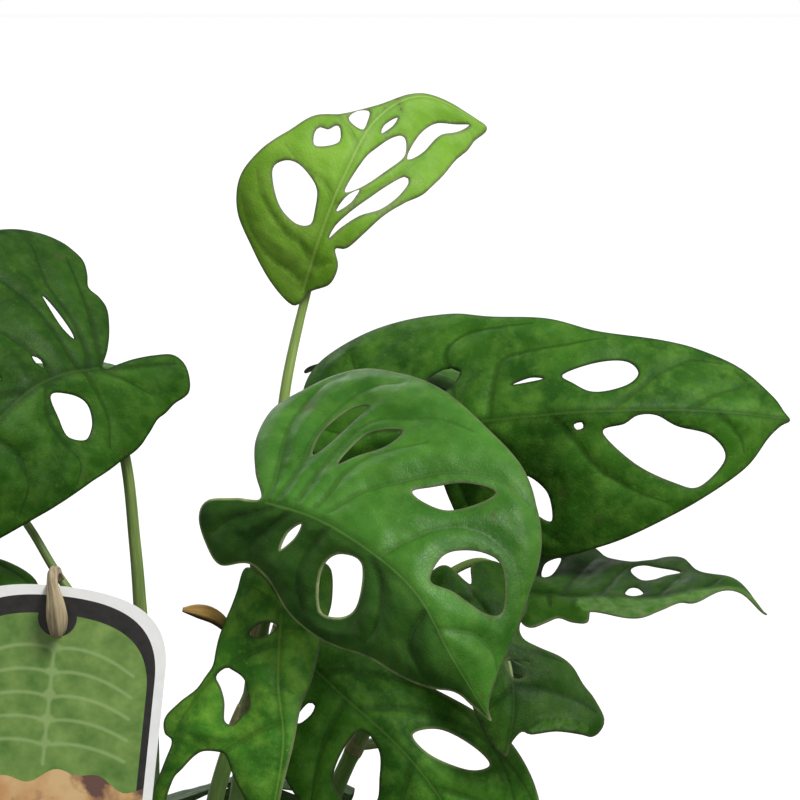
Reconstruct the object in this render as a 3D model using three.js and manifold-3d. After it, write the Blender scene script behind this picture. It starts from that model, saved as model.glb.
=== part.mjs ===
// A potted swiss cheese vine: holed leaves on long petioles, vine stems, soil, nursery pot and plant tag.
// Millimetres, +Z up. The origin is the centre of the pot's base, and the viewer stands at -Y.
import * as THREE from "three";
import Module from "manifold-3d";

const wasm = await Module();
wasm.setup();

// Driving dimensions of the pot and the soil.
const POT_HEIGHT = 130;
const POT_BASE_RADIUS = 53;
const POT_TOP_RADIUS = 70;
const POT_WALL = 1.6;
const POT_FLOOR = 2.4;
const RIM_REACH = 5;
const RIM_DEPTH = 9;
const POT_SIDES = 30;
const DRAIN_HOLES = 8;
const DRAIN_RADIUS = 6;
const SOIL_LEVEL = 116;
const SOIL_BUMP = 2.2;
const SOIL_GAP = 0.8;
const GAP = 0.35;

// Driving dimensions of the growth.
const BLADE_THICKNESS = 0.8;
const RULING_STIFFNESS = 0.6;
const CURL_REACH = 60;
const EDGE_STEP = 11;
const INNER_STEP = 17;
const HEART = [
  [0.0, 0.03], [-0.13, 0.2], [-0.2, 0.5], [-0.12, 0.84], [0.08, 1.0],
  [0.34, 0.95], [0.58, 0.74], [0.78, 0.44], [0.92, 0.15],
];
const VEIN_FEET = [0.1, 0.32, 0.54];
const VEIN_ANGLE = 58;
const HOLE_CORNERS = 7;
const HOLE_KEPT = -0.55;
const STEM_SIDES = 7;
const KNOTS = 6;
const KNOT_HEIGHT = 0.5;
const PETIOLE_SIDES = 5;
const UNDER_BLADE = 0.6;
const RIB_TAPER = 0.62;

// The plant tag and its tie.
const TAG_WIDTH = 79;
const TAG_HEIGHT = 98;
const TAG_CORNER = 26;
const TAG_THICKNESS = 0.8;
const TAG_HOLE_RADIUS = 3.6;
const TAG_HOLE_DROP = 11;
const TAG_HANGS_FROM = [-33.5, -60, 252];
const TAG_TILT = 6;

// The vine stems: points on the centre line from the root up, and the radius at the root and the top.
const STEMS = {
  stem_left: {
    radius: [3.6, 2.8], line: [[-13, -8, 60], [-11, -8, 116], [-4, -6, 170], [-4, -4, 215], [-7, -2, 244]],
  },
  stem_mid: {
    radius: [4.2, 2.6], line: [[16, 4, 60], [18, 4, 116], [28, 3, 180], [35, 6, 235], [41, 8, 290]],
  },
  stem_right: {
    radius: [3.8, 2.4], line: [[38, 14, 60], [41, 14, 116], [62, 15, 178], [79, 15, 215], [93, 17, 258]],
  },
  stem_back: {
    radius: [3.8, 2.4], line: [[6, 36, 60], [8, 38, 116], [20, 54, 180], [42, 60, 235], [62, 62, 276]],
  },
  stem_low: {
    radius: [3.4, 2.4], line: [[-36, 16, 60], [-38, 18, 116], [-52, 28, 165], [-62, 34, 200], [-66, 38, 226]],
  },
};

// Leaves drawn one by one. rib: the midrib from the joint to the tip. faces: what the upper side looks
// at, at the joint and at the tip. fold and curl: degrees, for the left and the right half seen with the
// tip ahead. edge and holes: flat outlines, [along the midrib, across it], right half positive.
const DRAWN = [
  {
    name: "leaf_lime", colour: 0x7fa832,
    stem: "stem_mid", foot: 0.98, via: [[45, 7, 328]], radius: [1.9, 1.5],
    rib: [[51, 2, 362], [58, -6, 384], [66, -6, 404], [78, 4, 425], [95, 16, 433], [117, 22, 423]],
    faces: [[-0.25, -1, 0.25], [0.1, -0.75, 0.6]], fold: [8, -28], curl: [-14, 18],
    edge: [
      [-4, 0], [-8, -8], [-6, -19], [2, -27], [11, -35], [24, -37], [37, -33], [49, -26], [59, -21],
      [66, -12], [74, -8], [83, -5], [98, -4], [111, -6], [118, -5], [120, 0], [110, 12], [98, 23],
      [85, 30], [67, 32], [55, 26], [42, 20], [31, 15], [22, 9], [18, 10], [11, 8], [4, 4],
    ],
    holes: [
      [[41, -20], [31, -25], [24, -19], [22, -11], [26, -5], [35, -7], [40, -11]],
      [[51, -15], [56, -16], [61, -10], [58, -7], [52, -10]],
      [[65, -8], [70, -6], [71, -3], [65, -2.5]],
      [[69, 3], [76, 3.5], [79, 6], [74, 6]],
      [[43, 2], [52, 2], [64, 6], [77, 11], [67, 17], [56, 12], [45, 6]],
      [[71, 18], [79, 16], [93, 11], [109, 5], [103, 11], [90, 18]],
      [[33, 2], [40, 4], [46, 9], [38, 5.5]],
      [[24, 4.5], [32, 6], [43, 12], [54, 18], [63, 23], [56, 23], [47, 19], [36, 12.5], [28, 8]],
    ],
  },
  {
    name: "leaf_right", colour: 0x2f6424,
    stem: "stem_right", foot: 0.97, via: [[95, 26, 286]], radius: [2.2, 1.7],
    rib: [[95, 16, 311], [117, 6, 316], [154, -2, 320], [193, 4, 320], [229, 18, 316]],
    faces: [[0, -1, 0.3], [0.1, -0.9, 0.45]], fold: [-18, -28], curl: [-10, -8],
    edge: [
      [0, 9], [-5, 16], [-16, 18], [-32, 14], [-44, 3], [-50, -14], [-50, -30], [-43, -41], [-27, -49],
      [-10, -52], [10, -51], [27, -47], [49, -44], [69, -37], [94, -33], [109, -29], [124, -22],
      [135, -10], [141, 0], [133, 7], [123, 20], [105, 33], [82, 45], [65, 51], [46, 54], [25, 50],
      [11, 40], [6, 27], [3, 12],
    ],
    holes: [
      [[1, -22], [9, -26], [15, -23], [9, -16]],
      [[33, -16], [46, -19], [59, -22], [68, -23], [79, -22], [81, -16], [72, -9], [60, -10], [46, -12]],
      [[68, 8], [76, 4], [82, -2], [88, -2], [96, 5], [109, 9], [115, 17], [105, 28], [95, 27], [80, 20]],
      [[38, 22], [46, 29], [47, 40], [41, 37], [38, 31]],
      [[58, 5], [63, 2], [67, 4], [64, 7]],
    ],
  },
  {
    name: "leaf_front", colour: 0x3f7a30,
    stem: "stem_mid", foot: 0.72, via: [[34, 3, 266], [35, -16, 281]], radius: [2.1, 1.7],
    rib: [[38, -42, 291], [58, -58, 286], [79, -72, 274], [93, -80, 261], [104, -82, 241], [118, -72, 217]],
    faces: [[-0.1, -1, 0.34], [0.05, -1, 0.25]], fold: [-12, -32], curl: [-8, -14],
    edge: [
      [-2, -1], [-13, -11], [-24, -24], [-29, -39], [-25, -51], [-19, -62], [-10, -69], [4, -71],
      [23, -70], [44, -66], [64, -62], [80, -53], [95, -42], [108, -27], [114, -15], [122, -3], [128, 0],
      [119, 3], [110, 6], [101, 15], [84, 27], [57, 39], [35, 39], [14, 28], [4, 25], [-7, 29], [-17, 22],
      [-24, 13], [-23, 6], [-12, 2],
    ],
    holes: [
      [[2, -23], [-3, -36], [-1, -49], [5, -52], [5, -40], [4.5, -28]],
      [[15, -15], [13, -27], [15, -41], [24, -47], [24, -38], [17, -24]],
      [[44, -28], [48, -34], [55, -43], [64, -48], [63, -39], [58, -30], [50, -27]],
      [[73, -7], [69, -16], [72, -24], [80, -32], [88, -31], [98, -25], [94, -19], [81, -12]],
      [[16, 16], [16, 9], [20, 4], [20, 10]],
      [[37, 13], [41, 7], [50, 6], [57, 19], [55, 27], [46, 31], [39, 22]],
    ],
  },
  {
    name: "leaf_left", colour: 0x2c5c26,
    stem: "stem_left", foot: 0.99, via: [[-9, -1, 272], [-13, -2, 306]], radius: [2.5, 1.8],
    rib: [[-20, -18, 337], [-34, -30, 335], [-47, -42, 328], [-63, -50, 310], [-80, -46, 283], [-92, -36, 264]],
    faces: [[0.1, -1, 0.28], [-0.1, -1, 0.2]], fold: [-20, -8], curl: [-12, -8],
    edge: [
      [1, 1], [-3, 2], [-12, 14], [-20, 26], [-20, 36], [-25, 43], [-27, 53], [-22, 62], [-9, 68],
      [12, 68], [30, 64], [53, 56], [76, 45], [96, 31], [112, 14], [121, 0], [107, -9], [93, -18],
      [83, -25], [62, -35], [42, -40], [24, -40], [-5, -27], [-29, -14], [-35, -5], [-31, 1], [-20, 2],
      [-7, -1],
    ],
    holes: [
      [[0, 35], [-1, 30], [0, 18], [2, 14], [3, 21]],
      [[28, -6], [23, -6], [15, -12], [17, -20], [25, -26], [33, -22], [31, -14]],
      [[38, 10], [47, 20], [60, 44], [50, 44], [40, 24]],
      [[64, 8], [74, 14], [82, 28], [72, 30], [65, 17]],
      [[79, -4], [88, -5], [91, -8], [85, -13], [77, -10]],
    ],
  },
  {
    name: "leaf_hanging", colour: 0x3c7d38,
    stem: "stem_mid", foot: 0.66, via: [[40, -4, 250]], radius: [1.9, 1.5],
    rib: [[44, -22, 250], [43, -34, 227], [45, -42, 206], [42, -44, 185], [37, -38, 162]],
    faces: [[0.05, -1, 0.25], [0, -1, 0]], fold: [-4, -24], curl: [-10, -16],
    edge: [
      [-3, -2], [-13, -5], [-20, -11], [-18, -17], [-6, -18], [9, -15], [20, -13], [36, -10], [50, -6],
      [62, -5], [78, -5], [94, 0], [88, 13], [78, 28], [66, 42], [50, 51], [32, 46], [20, 36], [10, 24],
      [1, 19], [-8, 19], [-18, 15], [-13, 7],
    ],
    holes: [
      [[5, 15], [3.5, 8], [5, 0], [9, 7]],
      [[21, 21], [26, 13], [33, 9], [38, 16], [41, 22], [32, 23]],
      [[57, 35], [54, 28], [58, 25], [64, 28]],
    ],
  },
  {
    name: "leaf_tip_down", colour: 0x274f22,
    stem: "stem_right", foot: 0.82, via: [[100, 4, 252]], radius: [1.7, 1.3],
    rib: [[111, -14, 257], [123, -24, 240], [127, -31, 219], [124, -34, 199]],
    faces: [[0.2, -1, 0.5], [0, -1, 0.2]], fold: [-14, -10], curl: [-10, -30],
    edge: [
      [-2, -2], [-9, -13], [-4, -20], [13, -16], [28, -15], [36, -24], [46, -32], [53, -34], [58, -29],
      [58, -18], [58, -8], [62, -2], [66, 0], [60, 7], [51, 13], [42, 16], [29, 18], [14, 21], [-1, 17],
      [-10, 10], [-12, 2],
    ],
    holes: [[[31, 4], [30, 0], [33, -8], [37, -4], [37, 1]]],
  },
  {
    name: "leaf_lower", colour: 0x2e6428,
    stem: "stem_mid", foot: 0.52, via: [[42, 2, 226]], radius: [1.9, 1.5],
    rib: [[50, -8, 233], [68, -16, 217], [85, -20, 202], [99, -20, 185], [115, -12, 158]],
    faces: [[0, -1, 0.45], [0.1, -1, 0.15]], fold: [-10, -14], curl: [-12, -14],
    edge: [
      [-4, -2], [0, -9], [15, -17], [42, -25], [62, -32], [78, -35], [94, -34], [106, -29], [113, -18],
      [117, -8], [122, 0], [108, 11], [90, 23], [72, 33], [52, 40], [34, 38], [19, 30], [6, 19], [-3, 6],
    ],
    holes: [
      [[50, -7], [55, -16], [68, -22], [77, -23], [73, -15], [60, -7]],
      [[36, 5], [46, 6], [54, 13], [60, 20], [55, 28], [43, 26], [37, 16]],
    ],
  },
  {
    name: "leaf_edgewise", colour: 0x2a5a26,
    stem: "stem_right", foot: 0.95, via: [[116, 17, 264]], radius: [1.7, 1.3],
    rib: [[133, 6, 254], [156, -2, 253], [179, -4, 253], [207, 4, 256], [219, 12, 245]],
    faces: [[-0.05, -0.3, 1], [0.1, -0.3, 1]], fold: [2, -10], curl: [6, -18], wave: [3, 3],
    edge: [
      [-2, -3], [0, -14], [10, -31], [24, -42], [38, -34], [55, -32], [69, -17], [82, -9], [91, -4],
      [96, 0], [82, 3], [69, 4], [59, 8], [48, 8], [35, 14], [22, 19], [12, 15], [4, 20], [-3, 12],
    ],
    holes: [
      [[38, -22], [44, -27], [54, -23], [49, -15], [43, -16]],
      [[35, -4], [39, -9], [43, -4], [39, -1.5]],
    ],
  },
];

// Leaves that stand behind or below the drawn ones: a heart outline from a length and half a width, on
// a midrib that leaves the joint at a heading, counted from +X to +Y, and bends from rise down to fall.
const GROWN = [
  {
    name: "leaf_back_high", joint: [88, 76, 334], heading: 62, rise: 4, fall: -38, roll: 10,
    size: [104, 44], stem: "stem_back", foot: 0.99,
  },
  {
    name: "leaf_back_mid", joint: [-50, 94, 326], heading: 118, rise: 10, fall: -40, roll: -12,
    size: [112, 47], stem: "stem_low", foot: 0.99, via: [[-58, 58, 266], [-51, 84, 304]],
  },
  {
    name: "leaf_back_right", joint: [104, 80, 234], heading: 72, rise: 5, fall: -62, roll: 8,
    size: [110, 45], stem: "stem_back", foot: 0.7,
  },
  {
    name: "leaf_back_left", joint: [-52, 86, 232], heading: 112, rise: 8, fall: -58, roll: 14,
    size: [110, 46], stem: "stem_low", foot: 0.84,
  },
  {
    name: "leaf_left_high", joint: [-88, 42, 308], heading: 164, rise: 14, fall: -42, roll: 8,
    size: [116, 47], stem: "stem_left", foot: 0.7,
    via: [[-17, -13, 236], [-35, -16, 261], [-47, -12, 280], [-66, 14, 301]],
  },
  {
    name: "leaf_dark_left", joint: [-72, 2, 264], heading: 196, rise: -5, fall: -60, roll: -10,
    size: [96, 41], stem: "stem_low", foot: 0.92,
  },
  {
    name: "leaf_left_back", joint: [-112, 40, 220], heading: 152, rise: 16, fall: -48, roll: -14,
    size: [104, 44], stem: "stem_low", foot: 0.74,
  },
  {
    name: "leaf_left_low", joint: [-94, 2, 196], heading: 182, rise: 8, fall: -70, roll: 16,
    size: [98, 42], stem: "stem_low", foot: 0.6,
  },
  {
    name: "leaf_front_left", joint: [-108, -44, 164], heading: 216, rise: 4, fall: -56, roll: -12,
    size: [86, 37], stem: "stem_left", foot: 0.3,
  },
  {
    name: "leaf_front_low", joint: [44, -66, 150], heading: -86, rise: -8, fall: -66, roll: 8,
    size: [92, 37], stem: "stem_mid", foot: 0.06, via: [[26, -28, 142]],
  },
  {
    name: "leaf_right_front", joint: [116, -38, 142], heading: -30, rise: 6, fall: -64, roll: -10,
    size: [96, 41], stem: "stem_right", foot: 0.1, via: [[80, -6, 138], [100, -22, 141]],
  },
  {
    name: "leaf_right_back", joint: [100, 60, 162], heading: 30, rise: 2, fall: -66, roll: 12,
    size: [102, 43], stem: "stem_right", foot: 0.5,
  },
  {
    name: "leaf_back_low", joint: [24, 100, 172], heading: 84, rise: 8, fall: -70, roll: -8,
    size: [104, 44], stem: "stem_back", foot: 0.45,
  },
  {
    name: "leaf_back_corner", joint: [-62, 86, 170], heading: 136, rise: 4, fall: -58, roll: 10,
    size: [96, 41], stem: "stem_low", foot: 0.4,
  },
];

const radians = THREE.MathUtils.degToRad;
const vector = (p) => new THREE.Vector3(...p);

function wobble(seed, index) {
  const x = Math.sin(seed * 12.9898 + index * 78.233) * 43.7585;
  return (x - Math.floor(x)) * 2 - 1;
}

function catmull(a, b, c, d, t) {
  return a.map((_, k) => 0.5 * (2 * b[k] + (c[k] - a[k]) * t
    + (2 * a[k] - 5 * b[k] + 4 * c[k] - d[k]) * t * t
    + (3 * b[k] - a[k] - 3 * c[k] + d[k]) * t * t * t));
}

// A smooth open line through the points, as many samples as steps + 1.
function smoothLine(points, steps) {
  const last = points.length - 1;
  const before = points[0].map((v, k) => 2 * v - points[1][k]);
  const after = points[last].map((v, k) => 2 * v - points[last - 1][k]);
  const p = [before, ...points, after];
  const line = [];
  for (let i = 0; i <= steps; i += 1) {
    const x = (i / steps) * last;
    const k = Math.min(Math.floor(x), last - 1);
    line.push(catmull(p[k], p[k + 1], p[k + 2], p[k + 3], x - k));
  }
  return line;
}

// A smooth closed line through the points, sampled so that no step is much longer than the one given.
function smoothRing(points, step) {
  const n = points.length;
  const ring = [];
  for (let i = 0; i < n; i += 1) {
    const [a, b, c, d] = [points[(i + n - 1) % n], points[i], points[(i + 1) % n], points[(i + 2) % n]];
    const parts = Math.max(1, Math.round(Math.hypot(c[0] - b[0], c[1] - b[1]) / step));
    for (let k = 0; k < parts; k += 1) ring.push(catmull(a, b, c, d, k / parts));
  }
  return ring;
}

// The blade as a bent surface: point(u, v) lies u along the midrib and v across it.
class Blade {
  constructor(leaf) {
    Object.assign(this, leaf);
    this.line = smoothLine(leaf.rib, 120).map(vector);
    this.reached = [0];
    for (let i = 1; i < this.line.length; i += 1) {
      this.reached.push(this.reached[i - 1] + this.line[i].distanceTo(this.line[i - 1]));
    }
    this.length = this.reached.at(-1);
    this.chord = this.line.at(-1).clone().sub(this.line[0]).normalize();
    this.faceEnds = leaf.faces.map((f) => vector(f).normalize());
  }

  onRib(u) {
    const want = THREE.MathUtils.clamp(u, 0, this.length);
    let i = 1;
    while (i < this.reached.length - 1 && this.reached[i] < want) i += 1;
    const t = (want - this.reached[i - 1]) / (this.reached[i] - this.reached[i - 1]);
    return this.line[i - 1].clone().lerp(this.line[i], t);
  }

  frame(u) {
    const inside = THREE.MathUtils.clamp(u, 0, this.length);
    const tangent = this.onRib(inside + 0.5).sub(this.onRib(inside - 0.5)).normalize();
    const ahead = tangent.clone().lerp(this.chord, RULING_STIFFNESS).normalize();
    const face = this.faceEnds[0].clone().lerp(this.faceEnds[1], inside / this.length);
    const normal = face.addScaledVector(ahead, -face.dot(ahead)).normalize();
    const origin = this.onRib(inside).addScaledVector(tangent, u - inside);
    return { origin, normal, across: new THREE.Vector3().crossVectors(ahead, normal) };
  }

  point(u, v) {
    const { origin, normal, across } = this.frame(u);
    const half = v > 0 ? 1 : 0;
    const far = Math.abs(v);
    const fold = radians(this.fold[half]);
    const curl = radians(this.curl[half] || 0.01) / CURL_REACH;
    const wide = (Math.sin(fold + curl * far) - Math.sin(fold)) / curl;
    const [height, count] = this.wave ?? [0, 3];
    const turn = count * (u / this.length) + 0.37 * half;
    const rise = (Math.cos(fold) - Math.cos(fold + curl * far)) / curl
      + height * (far / CURL_REACH) ** 2 * Math.sin(2 * Math.PI * turn);
    return origin.addScaledVector(across, Math.sign(v) * wide).addScaledVector(normal, rise);
  }

  normal(u, v) {
    const along = this.point(u + 0.5, v).sub(this.point(u - 0.5, v));
    const over = this.point(u, v + 0.5).sub(this.point(u, v - 0.5));
    return over.cross(along).normalize();
  }
}

// A heart outline and the holes between its side veins, for a leaf that isn't drawn by hand.
function grow(leaf, index) {
  const [length, half] = leaf.size;
  const steps = 4;
  const heading = radians(leaf.heading);
  const rib = [leaf.joint];
  for (let i = 0; i < steps; i += 1) {
    const pitch = radians(leaf.rise + (leaf.fall - leaf.rise) * ((i + 0.5) / steps) ** 0.9);
    const [x, y, z] = rib[i];
    const run = (Math.cos(pitch) * length) / steps;
    const rise = (Math.sin(pitch) * length) / steps;
    rib.push([x + Math.cos(heading) * run, y + Math.sin(heading) * run, z + rise]);
  }
  const side = (sign) => HEART.map(([a, b], k) => [
    length * (a + 0.012 * wobble(index, k + sign)), sign * half * (b + 0.035 * wobble(index + 7, k + sign)),
  ]);
  const edge = [...side(1), [length, 0], ...side(-1).reverse()];
  const holes = [];
  for (const sign of [-1, 1]) {
    VEIN_FEET.forEach((foot, k) => {
      if (wobble(index + 11, k + sign) < HOLE_KEPT) return;
      const reach = half * (0.54 - 0.1 * k);
      const angle = radians(VEIN_ANGLE + 4 * wobble(index + 3, k + sign));
      const long = reach * (0.56 + 0.16 * wobble(index + 5, k + sign));
      const wide = length * (0.043 + 0.011 * wobble(index + 9, k + sign));
      const middle = [length * foot + reach * Math.cos(angle), sign * (reach * 0.84 + 2)];
      const hole = [];
      for (let t = 0; t < HOLE_CORNERS; t += 1) {
        const turn = (t / HOLE_CORNERS) * 2 * Math.PI;
        const a = long * Math.cos(turn);
        const b = wide * Math.sin(turn) * (1 + 0.3 * Math.cos(turn));
        hole.push([
          middle[0] + a * Math.cos(angle) - b * Math.sin(angle),
          middle[1] + sign * (a * Math.sin(angle) + b * Math.cos(angle)),
        ]);
      }
      holes.push(hole);
    });
  }
  const [east, north] = [Math.cos(heading), Math.sin(heading)];
  const lean = [north, -east].map((v) => v * Math.tan(radians(leaf.roll)));
  return {
    ...leaf, rib, edge, holes, colour: 0x2c5f27, radius: [1.9, 1.4],
    faces: [[lean[0] - 0.2 * east, lean[1] - 0.2 * north, 1], [lean[0] + east, lean[1] + north, 0.8]],
    fold: [-8 + 6 * wobble(index, 1), -8 + 6 * wobble(index, 2)], curl: [-22, -22], wave: [2, 3],
  };
}

function area(a, b, c) {
  return (b[0] - a[0]) * (c[1] - a[1]) - (b[1] - a[1]) * (c[0] - a[0]);
}

function isInside(p, ring) {
  let inside = false;
  for (let i = 0, j = ring.length - 1; i < ring.length; j = i, i += 1) {
    const [a, b] = [ring[i], ring[j]];
    const crosses = (a[1] > p[1]) !== (b[1] > p[1]);
    if (crosses && p[0] < ((b[0] - a[0]) * (p[1] - a[1])) / (b[1] - a[1]) + a[0]) inside = !inside;
  }
  return inside;
}

function holdsInCircle(triangle, points, p) {
  const [a, b, c] = triangle.map((i) => points[i]);
  const row = (q) => [q[0] - p[0], q[1] - p[1], (q[0] - p[0]) ** 2 + (q[1] - p[1]) ** 2];
  const [[ax, ay, az], [bx, by, bz], [cx, cy, cz]] = [row(a), row(b), row(c)];
  return ax * (by * cz - bz * cy) - ay * (bx * cz - bz * cx) + az * (bx * cy - by * cx) > 1e-9;
}

// Triangles of least sliver over scattered points, each point added inside the circles it breaks.
function delaunay(points) {
  const n = points.length;
  const all = [...points, [-4000, -4000], [4000, -4000], [0, 6000]];
  let triangles = [[n, n + 1, n + 2]];
  for (let i = 0; i < n; i += 1) {
    const broken = triangles.filter((t) => holdsInCircle(t, all, all[i]));
    const rim = new Map();
    for (const t of broken) {
      for (let k = 0; k < 3; k += 1) {
        const [a, b] = [t[k], t[(k + 1) % 3]];
        if (rim.has(`${b},${a}`)) rim.delete(`${b},${a}`);
        else rim.set(`${a},${b}`, [a, b]);
      }
    }
    triangles = triangles.filter((t) => !broken.includes(t));
    for (const [a, b] of rim.values()) triangles.push([a, b, i]);
  }
  return triangles.filter((t) => t.every((i) => i < n));
}

// Splits the outline's own steps until every one of them is an edge of the triangles, and keeps what
// lies in the outline and outside its holes.
function triangulate(edge, holes) {
  let rings = [edge, ...holes];
  const clear = (p) => rings.flat().every((q) => Math.hypot(p[0] - q[0], p[1] - q[1]) > INNER_STEP * 0.5);
  const fits = (p) => isInside(p, edge) && !holes.some((h) => isInside(p, h)) && clear(p);
  const inner = [];
  for (let row = -12; row <= 12; row += 1) {
    for (let u = -80; u < 160; u += INNER_STEP) {
      const p = [u + (row % 2 ? INNER_STEP / 2 : 0) + 0.13 * row, row * INNER_STEP * 0.866 + 0.011 * u];
      if (fits(p)) inner.push(p);
    }
  }
  for (let round = 0; round < 8; round += 1) {
    const points = [...rings.flat(), ...inner];
    const triangles = delaunay(points);
    const edges = new Set();
    for (const [a, b, c] of triangles) {
      for (const [p, q] of [[a, b], [b, c], [c, a]]) edges.add(`${Math.min(p, q)},${Math.max(p, q)}`);
    }
    let start = 0;
    let missing = 0;
    const finer = [];
    for (const ring of rings) {
      const next = [];
      for (let i = 0; i < ring.length; i += 1) {
        const [p, q] = [start + i, start + ((i + 1) % ring.length)];
        next.push(ring[i]);
        if (!edges.has(`${Math.min(p, q)},${Math.max(p, q)}`)) {
          const [a, b] = [ring[i], ring[(i + 1) % ring.length]];
          next.push([(a[0] + b[0]) / 2, (a[1] + b[1]) / 2]);
          missing += 1;
        }
      }
      start += ring.length;
      finer.push(next);
    }
    if (!missing) {
      const kept = triangles.filter((t) => {
        const middle = [0, 1].map((k) => (points[t[0]][k] + points[t[1]][k] + points[t[2]][k]) / 3);
        return isInside(middle, rings[0]) && !rings.slice(1).some((h) => isInside(middle, h));
      });
      const turned = kept.map((t) => (area(...t.map((i) => points[i])) > 0 ? t : [t[0], t[2], t[1]]));
      return { points, triangles: turned };
    }
    rings = finer;
  }
  throw new Error("an outline can't be split");
}

// A closed solid from vertices and triangles.
function solid(vertices, triangles) {
  const vertProperties = new Float32Array(vertices.flat());
  const triVerts = new Uint32Array(triangles.flat());
  return new wasm.Manifold(new wasm.Mesh({ numProp: 3, vertProperties, triVerts }));
}

// The flat triangles laid on the bent surface twice, half a thickness to each side, with a wall between.
function bladeSolid(blade) {
  const edge = smoothRing(blade.edge, EDGE_STEP);
  const holes = blade.holes.map((h) => smoothRing(h, EDGE_STEP));
  const { points, triangles } = triangulate(edge, holes);
  const used = [...new Set(triangles.flat())].sort((a, b) => a - b);
  const place = new Map(used.map((i, k) => [i, k]));
  const flat = triangles.map((t) => t.map((i) => place.get(i)));
  const n = used.length;
  const upper = [];
  const lower = [];
  for (const i of used) {
    const [u, v] = points[i];
    const middle = blade.point(u, v);
    const normal = blade.normal(u, v);
    upper.push(middle.clone().addScaledVector(normal, BLADE_THICKNESS / 2).toArray());
    lower.push(middle.addScaledVector(normal, -BLADE_THICKNESS / 2).toArray());
  }
  const faces = [];
  const open = new Map();
  for (const [a, b, c] of flat) {
    faces.push([a, c, b], [a + n, b + n, c + n]);
    for (const [p, q] of [[a, b], [b, c], [c, a]]) {
      if (open.has(`${q},${p}`)) open.delete(`${q},${p}`);
      else open.set(`${p},${q}`, [p, q]);
    }
  }
  for (const [p, q] of open.values()) faces.push([p, q, q + n], [p, q + n, p + n]);
  return solid([...upper, ...lower], faces);
}

// A tube of changing radius along a line, closed at both ends.
function tubeSolid(line, radiusAt, sides) {
  const points = line.map(vector);
  const vertices = [];
  const faces = [];
  let up = new THREE.Vector3(0.31, 0.95, 0.05);
  const last = points.length - 1;
  points.forEach((p, i) => {
    const ahead = points[Math.min(i + 1, last)].clone().sub(points[Math.max(i - 1, 0)]).normalize();
    up = up.clone().addScaledVector(ahead, -up.dot(ahead)).normalize();
    const over = new THREE.Vector3().crossVectors(ahead, up);
    const r = radiusAt(i / last);
    for (let k = 0; k < sides; k += 1) {
      const turn = (k / sides) * 2 * Math.PI;
      const rim = p.clone().addScaledVector(up, r * Math.cos(turn)).addScaledVector(over, r * Math.sin(turn));
      vertices.push(rim.toArray());
    }
  });
  for (let i = 0; i < last; i += 1) {
    for (let k = 0; k < sides; k += 1) {
      const [a, b] = [i * sides + k, i * sides + ((k + 1) % sides)];
      faces.push([a, b, b + sides], [a, b + sides, a + sides]);
    }
  }
  const end = last * sides;
  for (let k = 1; k < sides - 1; k += 1) faces.push([0, k + 1, k], [end, end + k, end + k + 1]);
  return solid(vertices, faces);
}

function stemLine(name, steps) {
  return smoothLine(STEMS[name].line, steps);
}

// Where a petiole starts: a place on a stem's centre line, as a share of its way from the soil up.
function footOn(leaf) {
  const line = stemLine(leaf.stem, 100);
  return line[Math.round(25 + 75 * leaf.foot)];
}

// The petiole and the midrib it runs on into, tapering under the blade.
function petioleSolid(blade) {
  const foot = footOn(blade);
  const joint = blade.rib[0];
  const rise = Math.max(10, 0.22 * Math.hypot(joint[0] - foot[0], joint[1] - foot[1]));
  const via = blade.via ?? [[
    foot[0] * 0.45 + joint[0] * 0.55, foot[1] * 0.45 + joint[1] * 0.55, (foot[2] + joint[2]) / 2 + rise,
  ]];
  const under = [0.02, 0.3, 0.62].map((share) => {
    const u = share * blade.length;
    const drop = 1.1 * (1 - share);
    return blade.point(u, 0).addScaledVector(blade.normal(u, 0.01), -drop).toArray();
  });
  const line = smoothLine([foot, ...via, ...under], 10);
  const [thick, thin] = blade.radius;
  const radiusAt = (t) => (
    t < UNDER_BLADE ? thick + ((thin - thick) * t) / UNDER_BLADE
      : thin * (1 - (RIB_TAPER * (t - UNDER_BLADE)) / (1 - UNDER_BLADE))
  );
  return tubeSolid(line, radiusAt, PETIOLE_SIDES);
}

function stemSolid(name, extra, sides) {
  const { radius } = STEMS[name];
  const knot = (t) => KNOT_HEIGHT * Math.max(0, Math.cos(t * 2 * Math.PI * KNOTS)) ** 6;
  const radiusAt = (t) => extra + radius[0] + (radius[1] - radius[0]) * t + knot(t);
  return tubeSolid(stemLine(name, 15), radiusAt, sides);
}

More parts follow.
